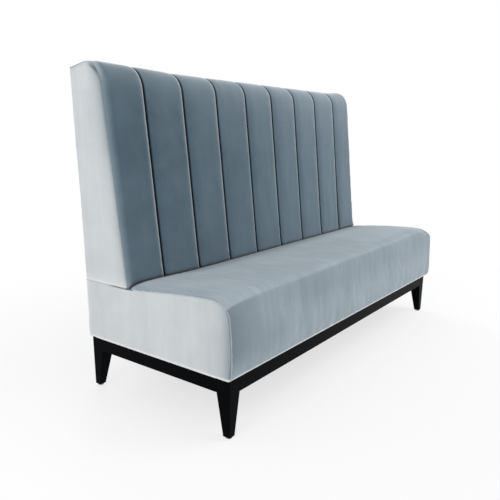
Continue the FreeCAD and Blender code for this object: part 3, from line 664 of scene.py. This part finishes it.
# %% A panel between two edges
def shares(count, first=0):
    """Even shares of a way, up to 1."""
    return [step / count for step in range(first, count + 1)]


def panel(name, first, last, rows, thickness, inward, uneven=None):
    """A cloth panel whose columns run from one edge's points to the other edge's."""
    columns = len(first) - 1
    piece = start(name, bpy.ops.mesh.primitive_grid_add, x_subdivisions=columns,
                  y_subdivisions=rows, size=2.0)

    def between(x, y, z):
        column = round((x + 1) / 2 * columns)
        share = (y + 1) / 2
        place = Vector(first[column]).lerp(Vector(last[column]), share)
        return place + Vector(uneven(*place, column / columns, share)) if uneven else place

    move_points(piece, between)
    if piece.data.polygons[0].normal.dot(Vector(inward)) > 0:
        with editing(piece):
            bpy.ops.mesh.flip_normals()
    finish_with(piece, "SOLIDIFY", thickness=thickness, offset=-1.0)
    finish_with(piece, "BEVEL", width=min(0.0022, thickness * 0.45), segments=3,
                limit_method="ANGLE", angle_limit=math.radians(50))
    smooth(piece, 50)
    return piece


# %% [markdown]
# ### The back's ends
#
# An end of the back is one panel of velvet on thin foam, with its front edge on the raked face and
# over the roll. Its front edge turns in towards the channels. The photograph shows two things on
# it: a long crease near the rear edge, and a short pleat that follows the round corner, where
# the channels' cloth was folded in.

# %% Ends of the back
CREASE = ((0.288, 1.190), (0.242, 0.900))   # depth and height of its two ends
FACE_STEPS = 90
ROLL_STEPS = 16


def near_line(y, z, line):
    """Signed distance from a line and how far along it, as a share."""
    (y0, z0), (y1, z1) = line
    long = math.hypot(y1 - y0, z1 - z0)
    way = ((y1 - y0) / long, (z1 - z0) / long)
    along = (y - y0) * way[0] + (z - z0) * way[1]
    return (y - y0) * way[1] - (z - z0) * way[0], along / long


def from_roll(y, z):
    """Distance inside the round top corner, and 1 on that corner's front quarter."""
    inside = BACK_ROLL_RADIUS - math.hypot(y - roll_depth, z - roll_level)
    return inside, ease((z - roll_level - 0.01) / 0.03) * ease((roll_depth - y) / 0.02)


def back_end_relief(y, z):
    """How far the end panel stands proud, from its crease and its pleat."""
    off, along = near_line(y, z, CREASE)
    dying = ease((along + 0.02) / 0.06) * ease((1 - along) / 0.6)
    crease = 0.0016 * bell(off - 0.004, 0.005) - 0.0018 * bell(off + 0.004, 0.004)
    inside, corner = from_roll(y, z)
    return crease * dying + 0.0016 * bell(inside - 0.009, 0.004) * corner


def rear_tuck(depth, z):
    """How far an end panel is drawn in towards its rear edge, more near the seat than at the top."""
    return 0.0075 * (1 - round_edge(depth + 0.0005, 0.02)) * (1 - 0.8 * ease((z - 0.5) / 0.6))


def back_end_turn(x, y, z):
    """Painted shade along the front edge, which dies out over the top, and along the top edge."""
    away = (y - BACK_FRONT - (z - LEDGE_HEIGHT) * math.tan(BACK_TILT)) * math.cos(BACK_TILT)
    ahead, edge = 1.0, 0.0
    if z > roll_level:
        away = from_roll(y, z)[0]
        ahead = ease((roll_depth - y) / (0.7 * BACK_ROLL_RADIUS))
        fall = (SEAM_TOP - REAR_TOP) * max(0.0, y - roll_depth) / (BACK_REAR - roll_depth)
        edge = 0.7 * fade(SEAM_TOP - fall + corner_peak(x, y, z) - z, 0.003)
    broad = 0.3 * ease((z - 0.72) / 0.3) * fade(away, 0.055)
    return min(1.0, ahead * (broad + 0.25 * fade(away, 0.03) + 0.45 * fade(away, 0.008)) + edge)


def end_inside(x):
    """1 on an end panel's hidden inner face, which gets painted shade."""
    return ease((HALF_LENGTH - abs(x) - 0.0085) / 0.001)


def back_end_dark(x, y, z):
    """Painted shade: on the hidden inner face, in the joint with the seat, deep near the front, and in the fold
    on the round corner.
    """
    joint = 0.2 + 0.65 * ease((BACK_FRONT + 0.10 - y) / 0.03)
    joint *= ease((BACK_BOTTOM + joint_level(x) + 0.0035 - z) / 0.003)
    folded = ease((z - roll_level - 0.035) / 0.02) * ease((roll_depth - y - 0.012) / 0.02)
    return max(end_inside(x), joint, 0.4 * folded * bell(from_roll(y, z)[0], 0.004))


def back_end_highlight(x, y, z):
    """The painted highlight on the ridge just above the joint with the seat."""
    above = z - BACK_BOTTOM - joint_level(x)
    near = 0.25 * ease((0.013 - above) / 0.004) + 0.4 * fade(above, 0.03)
    return near * ease((above - 0.003) / 0.002)


def back_end(side, hand):
    face, roll = shares(FACE_STEPS), shares(ROLL_STEPS, first=1)
    front = [on_back(face_run * share)[0] for share in face]
    front += [on_back(face_run + roll_run * share)[0] for share in roll]
    rear = [BACK_BOTTOM + (face_end_z - BACK_BOTTOM) * share for share in face]
    rear += [face_end_z + (rear_top - face_end_z) * share for share in roll]
    front = [(side * HALF_LENGTH, y, z) for y, z in front]
    rear = [(side * HALF_LENGTH, HALF_DEPTH, z) for z in rear]

    def uneven(x, y, z, up, ahead):
        depth = abs(y - HALF_DEPTH)
        away = (1 - ahead) * 0.2
        proud = back_end_relief(y, z)
        proud += swell((x, y, z), 0.0012, 0.16, 5.0 + side)
        proud += pucker(z, away, 0.0016, 0.019, 0.020, 7.0 + side, slant=-0.9)
        proud += pucker(z, depth, 0.0007, 0.034, 0.02, 9.0 + side)
        proud -= CORNER_TUCK * (1 - round_edge(away, 0.022)) * (1 - 0.6 * ease((z - roll_level) / 0.03))
        proud -= rear_tuck(depth, z)
        drop = joint_level(x) * (1 - ease((z - BACK_BOTTOM) / 0.06))
        lean = pucker(z, away, 0.0009, 0.028, 0.012, 17.0 + side) + rear_lean(z, 1 - ahead)
        return side * proud, lean, drop + corner_peak(x, y, z)

    piece = panel("back_end_panel_" + hand, rear, front, 60, SIDE_PANEL - GAP, (-side, 0, 0), uneven)
    weigh(piece, turn=back_end_turn, seam=back_end_dark, crest=back_end_highlight)
    return placed(piece, velvet_end, "velvet", "back_cover_" + hand)


ENDS = ((-1, "left"), (1, "right"))
back_ends = [back_end(side, hand) for side, hand in ENDS]

# %% [markdown]
# ### The rear of the back and of the seat
#
# Both are stretched sheets of velvet, tacked along their edges, that hang as flat as their tension
# lets them. The pull of the tacks shows as small puckers.

# %% Rear sheets
def rear_sheet(name, low, high, node, seed):
    lower, upper = ([(-INNER_HALF + 2 * INNER_HALF * step / 120, HALF_DEPTH, z) for step in range(121)]
                    for z in (low, high))

    def uneven(x, y, z, along, up):
        edge = min(z - low, high - z)
        side = to_seam(x)
        proud = swell((x, y, z), 0.0012, 0.22, seed)
        proud += pucker(x, edge, 0.0009, 0.033, 0.03, seed + 1)
        proud += pucker(z, side, 0.0009, 0.033, 0.03, seed + 2)
        return 0, proud * ease(min(edge, side) / 0.006) + rear_lean(z), corner_peak(x, y, z)

    rows = max(8, round((high - low) / 0.014))
    piece = panel(name, lower, upper, rows, VELVET - GAP, (0, -1, 0), uneven)
    # Painted shade along the sheet's edges and side seams.
    weigh(piece, seam=lambda x, y, z: 0.3 * ease((0.004 - min(z - low, high - z, to_seam(x))) / 0.004))
    high - low
    return placed(piece, velvet_rear, "velvet", node)


back_rear = rear_sheet("back_rear_sheet", BACK_BOTTOM, rear_top, "back_cover_rear", 21.0)
seat_rear = rear_sheet("seat_rear_sheet", HEM_LEVEL, LEDGE_HEIGHT, "seat_cover_rear", 31.0)

# %% [markdown]
# ## The seat
#
# The seat's cover is one cloth: turned in under the frame, round the hem, up the crowned front, over
# the top edge and back to the ledge, where it runs on under the back. Under it are foam pads. The
# outline below is the seat's section, with the foam's inner face as its underside. A circle
# primitive gives a ring with as many points as the outline has, and extruding it in short steps
# along the bench gives the seat.

# %% The seat's section
def arc(centre, radius, start_angle, end_angle, steps):
    """Points of a round stretch, angles in degrees from +Y towards +Z."""
    angles = [math.radians(start_angle + (end_angle - start_angle) * step / steps) for step in range(steps + 1)]
    return [(centre[0] + radius * math.cos(a), centre[1] + radius * math.sin(a)) for a in angles]


def bowed(first, last, bow, steps):
    """Points between two ends, bowed sideways in the middle, without the first end."""
    return [(first[0] + (last[0] - first[0]) * share - 4 * share * (1 - share) * bow,
             first[1] + (last[1] - first[1]) * share) for share in shares(steps, first=1)]


hem_centre = hem_y, hem_z = SEAT_FACE + HEM_RADIUS, HEM_LEVEL + HEM_RADIUS
edge_centre = edge_y, edge_z = SEAT_FACE + SEAT_EDGE_RADIUS, SEAT_HEIGHT - SEAT_EDGE_RADIUS
pad_inner = -HALF_DEPTH + 0.0186
core_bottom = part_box("seat_foam_core")[0].z
turn_in = SEAT_FACE + HEM_RADIUS + 0.030
TOP_STEPS = 32


def past_edge(y):
    """0 at the seat's front edge and 1 at the ledge."""
    return clamp((y - edge_y) / (LEDGE_FRONT - edge_y))


def seat_level(y):
    """Height of the seat's top, level behind its front edge and falling gently to the ledge."""
    return SEAT_HEIGHT - (SEAT_HEIGHT - LEDGE_HEIGHT) * past_edge(y) ** 2


outer = [(turn_in, HEM_LEVEL), (turn_in - 0.015, HEM_LEVEL)] + arc(hem_centre, HEM_RADIUS, 270, 180, 5)
outer += bowed(outer[-1], (SEAT_FACE, edge_z), FRONT_CROWN, 16)
outer += arc(edge_centre, SEAT_EDGE_RADIUS, 180, 90, 7)[1:]
top = [edge_y + (LEDGE_FRONT - edge_y) * step / TOP_STEPS for step in range(1, TOP_STEPS)]
outer += [(y, seat_level(y)) for y in (*top, LEDGE_FRONT - 0.005, LEDGE_FRONT)]
inner = [(y, LEDGE_HEIGHT) for y in (0.16, 0.22, 0.28, BACK_REAR)]
inner += [(y, LEDGE_HEIGHT - VELVET) for y in (BACK_REAR, 0.28, 0.22, 0.16, LEDGE_FRONT)]
inner += [(LEDGE_FRONT, 0.40), (LEDGE_FRONT, core_bottom), (-0.03, core_bottom), (-0.18, core_bottom),
          (pad_inner, core_bottom), (pad_inner, 0.30), (pad_inner, HEM_LEVEL + VELVET + 0.0053),
          (pad_inner + 0.005, HEM_LEVEL + VELVET), (turn_in, HEM_LEVEL + VELVET)]
section = outer + inner
print("seat section: %d points, %d of them on the skin" % (len(section), len(outer)))

# %% [markdown]
# The ring is extruded in short steps near the ends, where the cover turns down into the side seam,
# and in longer ones between.

# %% The seat's cushion
end_steps = [0.0015, 0.002, 0.003, 0.0045, 0.007, 0.010, 0.012]
middle_run = 2 * (INNER_HALF - sum(end_steps))
middle_count = 112
steps = end_steps + [middle_run / middle_count] * middle_count + end_steps[::-1]

seat = start("seat_cushion", bpy.ops.mesh.primitive_circle_add, vertices=len(section), radius=1.0,
             fill_type="NGON")
for vertex, (y, z) in zip(seat.data.vertices, section):
    vertex.co = (-INNER_HALF, y, z)
with editing(seat):
    bpy.ops.mesh.select_mode(type="FACE")
    bpy.ops.mesh.select_all(action="SELECT")
    for step in steps:
        bpy.ops.mesh.extrude_region_move(TRANSFORM_OT_translate={"value": (step, 0, 0)})
with editing(seat):
    bpy.ops.mesh.normals_make_consistent(inside=False)
print("seat cushion: %d points" % len(seat.data.vertices))


# %% [markdown]
# Three rules shape the cushion. Its middle stands a little higher than its ends. At each end the
# skin turns down by a few millimetres into the seam with the end panel, and the front edge is
# softer there. And behind, the cover is turned down over the two ends of the ledge's board.

# %% Crown, side seams and ledge
SKIN_DROP = 0.002                   # room that the cloth solver's swelling takes up
SEAM_DIP = 0.0005                   # how much of that room the skin gives back beside a side seam
SEAM_FILL = 0.0012                  # how far the seat's end panels reach in under its skin
FRONT_LEAN = 0.006
EDGE_SOFT = 0.020
EDGE_BACK = 0.6                     # the softened edge's way back, as a share of its way down
LEDGE_LIP = 0.016                   # how far the cover is turned down over the ledge's two ends
LEDGE_LIP_OUT = 0.0030


def is_skin(x, y, z):
    """True on the face that shows: the hem, the front, the edge and the top."""
    ahead = y < LEDGE_FRONT - 0.001
    return ahead and (y < pad_inner - 0.001 or z > core_bottom + 0.05 or z < HEM_LEVEL + 0.0005)


def seat_rise(x):
    share = min(1.0, to_seam(x) / SEAT_CROWN_RUN)
    return SEAT_CROWN * (1 - (1 - share) ** 2)


def leaning(x, y, z):
    """The front isn't quite true: its top leans back at the left, its foot stands out at the right."""
    ahead = 1 - ease((y - SEAT_FACE) / 0.12)
    right = 0.5 + x / (2 * HALF_LENGTH)
    top, foot = ease((z - 0.30) / 0.16), ease((0.36 - z) / 0.14)
    return y + ahead * FRONT_LEAN * ((1 - right) * top - (0.3 + right) * foot - 0.6 * right * right)


def softened(x, y, z):
    """How far the seat's top front edge is drawn down, and less far back, near its two ends."""
    near = 1 - ease(to_seam(x) / 0.10)
    return EDGE_SOFT * near * (clamp(1 - (y - SEAT_FACE) / 0.09) * clamp(1 - (SEAT_HEIGHT - z) / 0.055)) ** 2


def joint_swell(x, y, z):
    """How the seat's top follows the joint's level, from the ledge forward."""
    return joint_level(x) * ease((y + 0.30) / 0.33) * ease((z - 0.30) / 0.12)


def outward(y, z):
    """The way the skin faces on the top, the front, the edge's rounding or the hem's."""
    if y >= edge_y:
        return Vector((0, 0, 1))
    if z > edge_z:
        return Vector((0, y - edge_y, z - edge_z)).normalized()
    if z < hem_z:
        return Vector((0, y - hem_y, z - hem_z)).normalized()
    return Vector((0, -1, 0))


def seat_shape(x, y, z):
    point = Vector((x, y, z))
    at_end = abs(x) > INNER_HALF - 0.0001
    if at_end and y > LEDGE_FRONT - 0.001 and z > LEDGE_HEIGHT - 2 * VELVET:
        under = z < LEDGE_HEIGHT - VELVET / 2
        return point + Vector((math.copysign(LEDGE_LIP_OUT, x), 0, -LEDGE_LIP if under else 0))
    if abs(y - LEDGE_FRONT) < 0.001 and z > LEDGE_HEIGHT - 0.003:
        return point + Vector((0, 0, max(0.0, joint_swell(x, y, z))))
    if not is_skin(x, y, z):
        return point
    rise = seat_rise(x) * ease((z - 0.30) / 0.12) * (1 - past_edge(y) ** 2)
    sunk = SKIN_DROP * ease(to_seam(x) / 0.03) - SEAM_DIP * (1 - min(1.0, to_seam(x) / 0.009)) ** 2
    soft = softened(x, y, z)
    leant = Vector((x, leaning(x, y, z) + EDGE_BACK * soft, z - soft + rise + joint_swell(x, y, z)))
    return leant - outward(y, z) * sunk * ease((z - HEM_LEVEL) / 0.02)


def seat_pinned(x, y, z):
    return not is_skin(x, y, z) or to_seam(x) < 0.0005 or z < HEM_LEVEL + 0.004


move_points(seat, seat_shape)
blown_up(seat, seat_pinned, pressure=3.0, spare=0.012, cap=0.0045)

# %% [markdown]
# After the solver come the small things: slow swells, puckers by the side seams, and the numbers
# for painted light and shade. Painted shade darkens the front below the edge, most at the left, and
# the top before the back. Painted highlights pale the hem and the side seams, and the right part of
# the top a little.

# %% The seat's painted shade and highlights
def seat_finish(x, y, z):
    """Slow swell on the skin, and puckers by the side seams."""
    if not is_skin(x, y, z):
        return x, y, z
    away = to_seam(x)
    lift = swell((x, y, z), 0.0012, 0.17, 41.0) * ease(away / 0.02)
    lift += pucker(y + z, away, 0.0012, 0.024, 0.022, 43.0) * ease(away / 0.004)
    keep = ease((z - HEM_LEVEL) / 0.03) * ease((LEDGE_FRONT - y) / 0.03)
    on_top = z > edge_z and y > SEAT_FACE + SEAT_EDGE_RADIUS * 0.5
    return Vector((x, y, z)) + Vector((0, 0, lift) if on_top else (0, -lift, 0)) * keep


# Painted shade on the front below the edge, patchy and deepest at the left end, and on the top just before the
# back.
def seat_turn(x, y, z):
    from_left = INNER_HALF + x
    if y > edge_y:
        return ease((y + 0.02) / 0.11) * ease((from_left - 0.13) / 0.2) if z > 0.4 else 0.0
    angle = math.degrees(math.atan2(z - edge_z, edge_y - y))
    patchy = (0.36 + 0.3 * noise.noise(Vector((x * 2.2, 0, 5)))) * (0.3 + 0.7 * ease((z - 0.29) / 0.12))
    left = fade(from_left, 0.21) * ease((z - 0.20) / 0.12)
    return max(patchy, left) * ease((64 - 22 * fade(from_left, 0.02) - angle) / 16)


def seat_seam(x, y, z):
    """Painted shade in the side seams, and a painted shadow line where the top runs under the back."""
    ledge = 0.9 * ease((y - LEDGE_FRONT + 0.006) / 0.003) if z > 0.41 else 0.0
    return max(0.06 * ease((0.0035 - to_seam(x)) / 0.003), ledge)


# Painted highlights along the side seams, on the hem, and a little on the right part of the top.
def seat_highlight(x, y, z):
    side = 0.6 * ease((0.0024 - to_seam(x)) / 0.001) if y < LEDGE_FRONT - 0.008 else 0.0
    if y < pad_inner:
        return max(side, 0.95 * ease((HEM_LEVEL + 0.013 - z) / 0.005))
    return max(side, 0.15 * ease((x - 0.1) / 0.5) * ease((y - edge_y) / 0.05))


move_points(seat, seat_finish)
finish_with(seat, "SUBSURF", levels=1, render_levels=1)
smooth(seat, 50)
weigh(seat, seam=seat_seam, turn=seat_turn, crest=seat_highlight)
placed(seat, velvet_seat, "velvet", "seat_cover_main", "seat_foam_wrap", "seat_foam_core")


# %% [markdown]
# ### The seat's ends
#
# An end panel follows the seat's section: hem, crowned front, rounded edge and the gentle fall to
# the ledge. Its columns run from the hem up to the top edge, and its hem is turned in under the
# frame by a narrow strip.

# %% Ends of the seat
def seat_end_highlight(x, y, z):
    """The painted highlight on the hem, and a paler rear edge."""
    return max(0.95 * ease((HEM_LEVEL + 0.015 - z) / 0.005), 0.5 * ease((y - HALF_DEPTH + 0.03) / 0.03))


def seat_end(side, hand):
    bottom = arc(hem_centre, HEM_RADIUS, 180, 270, 7)
    top = arc(edge_centre, SEAT_EDGE_RADIUS, 180, 90, 7)
    for share in shares(58, first=1):
        y = edge_y + (HALF_DEPTH - edge_y) * share
        bottom.append((hem_y + (HALF_DEPTH - hem_y) * share, HEM_LEVEL))
        top.append((y, seat_level(y)))
    lower, upper = ([(side * HALF_LENGTH, y, z) for y, z in edge] for edge in (bottom, top))

    def uneven(x, y, z, along, up):
        to_top = (1 - up) * 0.24
        to_front = max(0.0, y - SEAT_FACE)
        bow = -FRONT_CROWN * 4 * up * (1 - up) * (1 - ease(to_front / 0.05))
        bow += leaning(x, y, z) - y + 0.0008 * fade(to_front, 0.004)
        proud = swell((x, y, z), 0.0013, 0.15, 51.0 + side)
        proud += pucker(y, to_top, 0.0012, 0.024, 0.02, 53.0 + side, slant=0.6)
        proud += pucker(z, to_front, 0.0014, 0.020, 0.02, 55.0 + side, slant=0.6)
        proud += 0.0028 * bell(z - HEM_LEVEL - 0.035, 0.035)
        proud += 0.0006 * bell(to_front - 0.004, 0.003)
        proud -= 0.0016 * (1 - round_edge(min(to_front, to_top) + 0.001, 0.012))
        proud -= 0.0045 * (1 - round_edge(z - HEM_LEVEL + 0.0005, 0.011))
        proud -= rear_tuck(HALF_DEPTH - y, 0.0)
        proud += 0.003 * up * (1 - up) * 4 if side > 0 else 0.0
        soft = softened(x, y, z)
        raised = 0.0035 * (1 - ease((z - HEM_LEVEL) / 0.03)) - soft + joint_swell(x, y, z)
        return side * proud, bow + EDGE_BACK * soft, raised

    piece = panel("seat_end_panel_" + hand, lower, upper, 48, SIDE_PANEL + SEAM_FILL, (-side, 0, 0), uneven)
    strip = block(piece.name + "_hem", (0.030, 0.600, 0.0016),
                  (side * (INNER_HALF - 0.014), 0.015, HEM_LEVEL + 0.001))
    finish_with(strip, "BEVEL", width=0.0006, segments=2)
    joined(piece, strip)
    # Painted shade on the hidden inner face and towards the front edge, and the painted highlight on the hem.
    weigh(piece, seam=lambda x, y, z: end_inside(x), crest=seat_end_highlight,
          turn=lambda x, y, z: 0.75 * fade(y - SEAT_FACE, 0.035))
    return placed(piece, velvet_end, "velvet", "seat_cover_" + hand)


seat_ends = [seat_end(side, hand) for side, hand in ENDS]

# %% [markdown]
# ## Under the seat
#
# Elastic straps carry the foam, and a black dust cloth closes the frame from below. Both are sheets
# that Blender models directly: a narrow grid for a strap, and one wide grid for the cloth. The
# straps are then joined into one piece.

# %% Straps and dust cloth
def woven(name, tone, thread):
    """Plain woven strap or cloth: two sets of threads that cross."""
    paint = Paint(name, roughness=0.8)
    sockets = {"Vector": paint.place, "Scale": thread, "Distortion": 0.4}
    warp, weft = (paint.node("ShaderNodeTexWave", sockets, out="Fac", bands_direction=axis) for axis in "XY")
    threads = warp * 0.5 + weft * 0.5
    worn = paint.noise(30.0, detail=3.0)
    cloth = paint.mix(threads * 0.6 + worn * 0.3, colour(tone, 0.55), colour(tone))
    paint.set(Base_Color=cloth, Normal=paint.bump(threads, 0.4, 0.0004), Sheen_Weight=0.1)
    return paint.material


webbing = woven("webbing", (70, 70, 74), 180.0)
dust_cloth = woven("dust_cloth", (46, 46, 50), 240.0)

STRAP_COUNT = 18
STRAP_WIDTH = 0.060
strap_low, strap_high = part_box("seat_webbing")
strap_pitch = (strap_high.x - strap_low.x - STRAP_WIDTH) / (STRAP_COUNT - 1)


def strap(index):
    x = strap_low.x + STRAP_WIDTH / 2 + strap_pitch * index
    left = [(x - STRAP_WIDTH / 2, strap_low.y + (strap_high.y - strap_low.y) * step / 30, strap_high.z - 0.0002)
            for step in range(31)]
    right = [(x + STRAP_WIDTH, y, z) for x, y, z in left]
    return panel("strap_%d" % index, left, right, 8, 0.0016, (0, 0, -1))


straps = joined(*[strap(index) for index in range(STRAP_COUNT)])
straps.name = straps.data.name = "seat_straps"
placed(straps, webbing, "webbing", "seat_webbing")


def sagging(x, y, z, along, across):
    """The dust cloth hangs a little in its middle."""
    sag = 0.0035 * math.sin(math.pi * across) * math.sin(math.pi * along) ** 0.5
    return 0, 0, -sag - abs(swell((x, y, z), 0.001, 0.09, 61.0))


cloth_low, cloth_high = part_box("seat_dust_cover")
near = [(cloth_low.x + (cloth_high.x - cloth_low.x) * step / 90, cloth_low.y, cloth_high.z)
        for step in range(91)]
far = [(x, cloth_high.y, z) for x, y, z in near]
dust_cover = panel("dust_cover", near, far, 30, 0.0008, (0, 0, 1), sagging)
placed(dust_cover, dust_cloth, "dust_cloth", "seat_dust_cover")

# %% [markdown]
# ## Finishes of the timber and metal
#
# The CAD parts keep their shapes and get a finish each. The plinth is beech under black satin
# lacquer, through which the grain shows faintly. The frames inside are bare boards, and the
# fastenings are zinc plated steel and brass.

# %% Lacquer, boards, steel, brass and nylon
def lacquer():
    paint = Paint("black_lacquer")
    grain = paint.noise(14.0, paint.stretched(6.0, 6.0, 6.0), detail=4.0)
    pores = paint.noise(420.0, paint.stretched(1.0, 1.0, 0.2))
    wear = paint.noise(9.0, detail=5.0, roughness=0.65).between(0.45, 0.8)
    paint.set(Base_Color=paint.mix(wear * 0.5 + grain * 0.2, colour((2, 6, 9)), colour((9, 16, 21))),
              Roughness=0.36 + wear * 0.12 + pores * 0.06, Specular_IOR_Level=0.02,
              Coat_Weight=0.012 + wear * 0.02, Coat_Roughness=0.2,
              Normal=paint.bump(pores * 0.6 + grain * 0.4, 0.12, 0.0004))
    return paint.material


def timber(name, dark, light, across, scale, rough):
    """Bare board: long bands of grain with fine pores."""
    paint = Paint(name)
    bands = paint.node("ShaderNodeTexWave", {"Vector": paint.stretched(*across), "Scale": scale,
                                             "Distortion": 5.0, "Detail": 3.0, "Detail Scale": 1.4}, out="Fac")
    pores = paint.noise(scale * 16, paint.stretched(*across), detail=3.0)
    tone = bands * 0.65 + pores * 0.35
    paint.set(Base_Color=paint.mix(tone, colour(dark), colour(light)), Roughness=rough + tone * 0.15,
              Normal=paint.bump(pores, 0.2, 0.0005))
    return paint.material


def metal(name, tone, rough):
    paint = Paint(name)
    scratches = paint.noise(500.0, paint.stretched(1.0, 1.0, 0.1), detail=3.0)
    bloom = paint.noise(60.0, detail=3.0)
    paint.set(Base_Color=paint.mix(bloom, colour(tone, 0.82), colour(tone)), Metallic=1.0,
              Roughness=rough + scratches * 0.16, Normal=paint.bump(scratches, 0.1, 0.0002))
    return paint.material


def nylon():
    paint = Paint("grey_nylon")
    grain = paint.noise(1400.0)
    scuffs = paint.noise(120.0, detail=4.0).between(0.5, 0.75)
    paint.set(Base_Color=paint.mix(scuffs * 0.6, colour((168, 168, 164)), colour((138, 138, 136))),
              Roughness=0.45 + grain * 0.2, Normal=paint.bump(grain, 0.15, 0.0002))
    return paint.material


finishes = {
    "lacquered_beech": lacquer(),
    "bare_beech": timber("bare_beech", (176, 138, 96), (214, 180, 136), (0.2, 1.0, 1.0), 22.0, 0.55),
    "plywood": timber("plywood", (170, 136, 96), (208, 178, 134), (1.0, 1.0, 0.12), 9.0, 0.6),
    "softwood": timber("softwood", (196, 156, 104), (226, 196, 148), (0.1, 1.0, 1.0), 7.0, 0.6),
    "hardboard": timber("hardboard", (88, 62, 42), (116, 86, 60), (1.0, 1.0, 1.0), 30.0, 0.7),
    "plated_steel": metal("plated_steel", (202, 202, 196), 0.28),
    "brass": metal("brass", (214, 178, 104), 0.25),
    "glide_plastic": nylon(),
}
slot_of = {row["node"]: row["material_slot"] for row in frame["record"]["subparts"]}
for name, node in frame["nodes"].items():
    finish = finishes.get(slot_of[name])
    if finish:
        node.data.materials.clear()
        node.data.materials.append(finish)
print("finishes on CAD nodes:", sorted(finishes))

# %% [markdown]
# ## The studio
#
# The floor is a pale disc. Where the camera sees it, it is mostly plain white already at the bench,
# with a soft share of light and shadow, and further out wholly white, as the surroundings are, so no
# edge or horizon shows. The world is white to the camera and in reflections, and softer as a light.

# %% Floor and world
WHITE = (1.0, 1.0, 1.0, 1.0)
FLOOR_PLAIN = 0.6                   # how far out the floor starts to turn white, and where it ends
FLOOR_WHITE = 2.4
FLOOR_GLOW = 0.7                    # the share of white at the bench
WORLD_STRENGTH = 0.6


def seen_white(graph, light, share, otherwise):
    """A share of white to the camera, in mirrors and through glass, and to other rays as it is."""
    camera, mirror, through = (graph.node("ShaderNodeLightPath", {}, out="Is %s Ray" % kind)
                               for kind in ("Camera", "Glossy", "Transmission"))
    seen = camera.math("MAXIMUM", camera.math("MAXIMUM", camera, mirror), through)
    white = graph.node(light, {"Color": WHITE, "Strength": 1.0})
    return graph.node("ShaderNodeMixShader", {0: seen * share, 1: otherwise, 2: white})


floor = start("floor", bpy.ops.mesh.primitive_circle_add, vertices=96, radius=30.0, fill_type="NGON")
paint = Paint("pale_floor", roughness=0.6)
paint.set(Base_Color=colour((246, 246, 246)), Specular_IOR_Level=0.0)
away = paint.node("ShaderNodeVectorMath", {0: paint.place}, out="Value", operation="LENGTH")
share = away.between(FLOOR_PLAIN, FLOOR_WHITE) * (1 - FLOOR_GLOW) + FLOOR_GLOW
paint.show(seen_white(paint, "ShaderNodeEmission", share, Level(paint, paint.shader.outputs[0])))
floor.data.materials.append(paint.material)

world = bpy.data.worlds.new("studio")
bpy.context.scene.world = world
world.use_nodes = True
sky = Graph(world.node_tree)
soft = sky.node("ShaderNodeBackground", {"Color": WHITE, "Strength": WORLD_STRENGTH})
sky.show(seen_white(sky, "ShaderNodeBackground", 1.0, soft))
print("floor:", floor.name, "world:", world.name)

# %% [markdown]
# A broad key lamp stands to the left of the bench, as the pale left end in the photograph tells.
# Another fills from the front, above and to the right, where the channels are palest. A third lights
# the rear, which the photograph doesn't show. With the world's, their strengths add up to the level
# at which a colour renders about as it is written.

# %% Lamps
def lamp(name, place, target, size, power):
    bpy.ops.object.select_all(action="DESELECT")
    bpy.ops.object.light_add(type="AREA", location=place)
    light = bpy.context.object
    light.name = name
    give(light.data, shape="DISK", size=size, energy=power)
    light.visible_glossy = False
    light.rotation_euler = (Vector(target) - Vector(place)).to_track_quat("-Z", "Y").to_euler()
    print("lamp %s: %d W" % (name, power))


lamp("key", (-3.6, -0.6, 2.2), (0, 0, 0.6), 2.2, 36)
lamp("fill", (1.5, -2.4, 3.2), (0, 0, 0.5), 2.6, 55)
lamp("rear", (1.8, 3.2, 2.6), (0, 0, 0.6), 2.4, 50)

# %% [markdown]
# ## The camera
#
# The camera's place and lens were worked out from the bench's own corners in the photograph: it
# stands at the left, about a metre high, and looks slightly down. The shift moves the frame, not the
# camera, because the photograph was cropped off centre.

# %% Camera
IMAGE_SIZE = 500
FOCAL_PIXELS = 545.1
PRINCIPAL_POINT = (228.2, 280.8)

bpy.ops.object.camera_add(location=(-2.1395, -1.3193, 0.9598),
                          rotation=(math.radians(90 - 14.772), 0, math.radians(-51.742)))
camera = bpy.context.object
camera.name = "camera"
camera.data.sensor_width = 36.0
camera.data.lens = FOCAL_PIXELS / IMAGE_SIZE * camera.data.sensor_width
camera.data.shift_x = (IMAGE_SIZE / 2 - PRINCIPAL_POINT[0]) / IMAGE_SIZE
camera.data.shift_y = (PRINCIPAL_POINT[1] - IMAGE_SIZE / 2) / IMAGE_SIZE
bpy.context.scene.camera = camera
bpy.context.scene.view_settings.view_transform = "Standard"
print("camera: lens %.1f mm" % camera.data.lens)
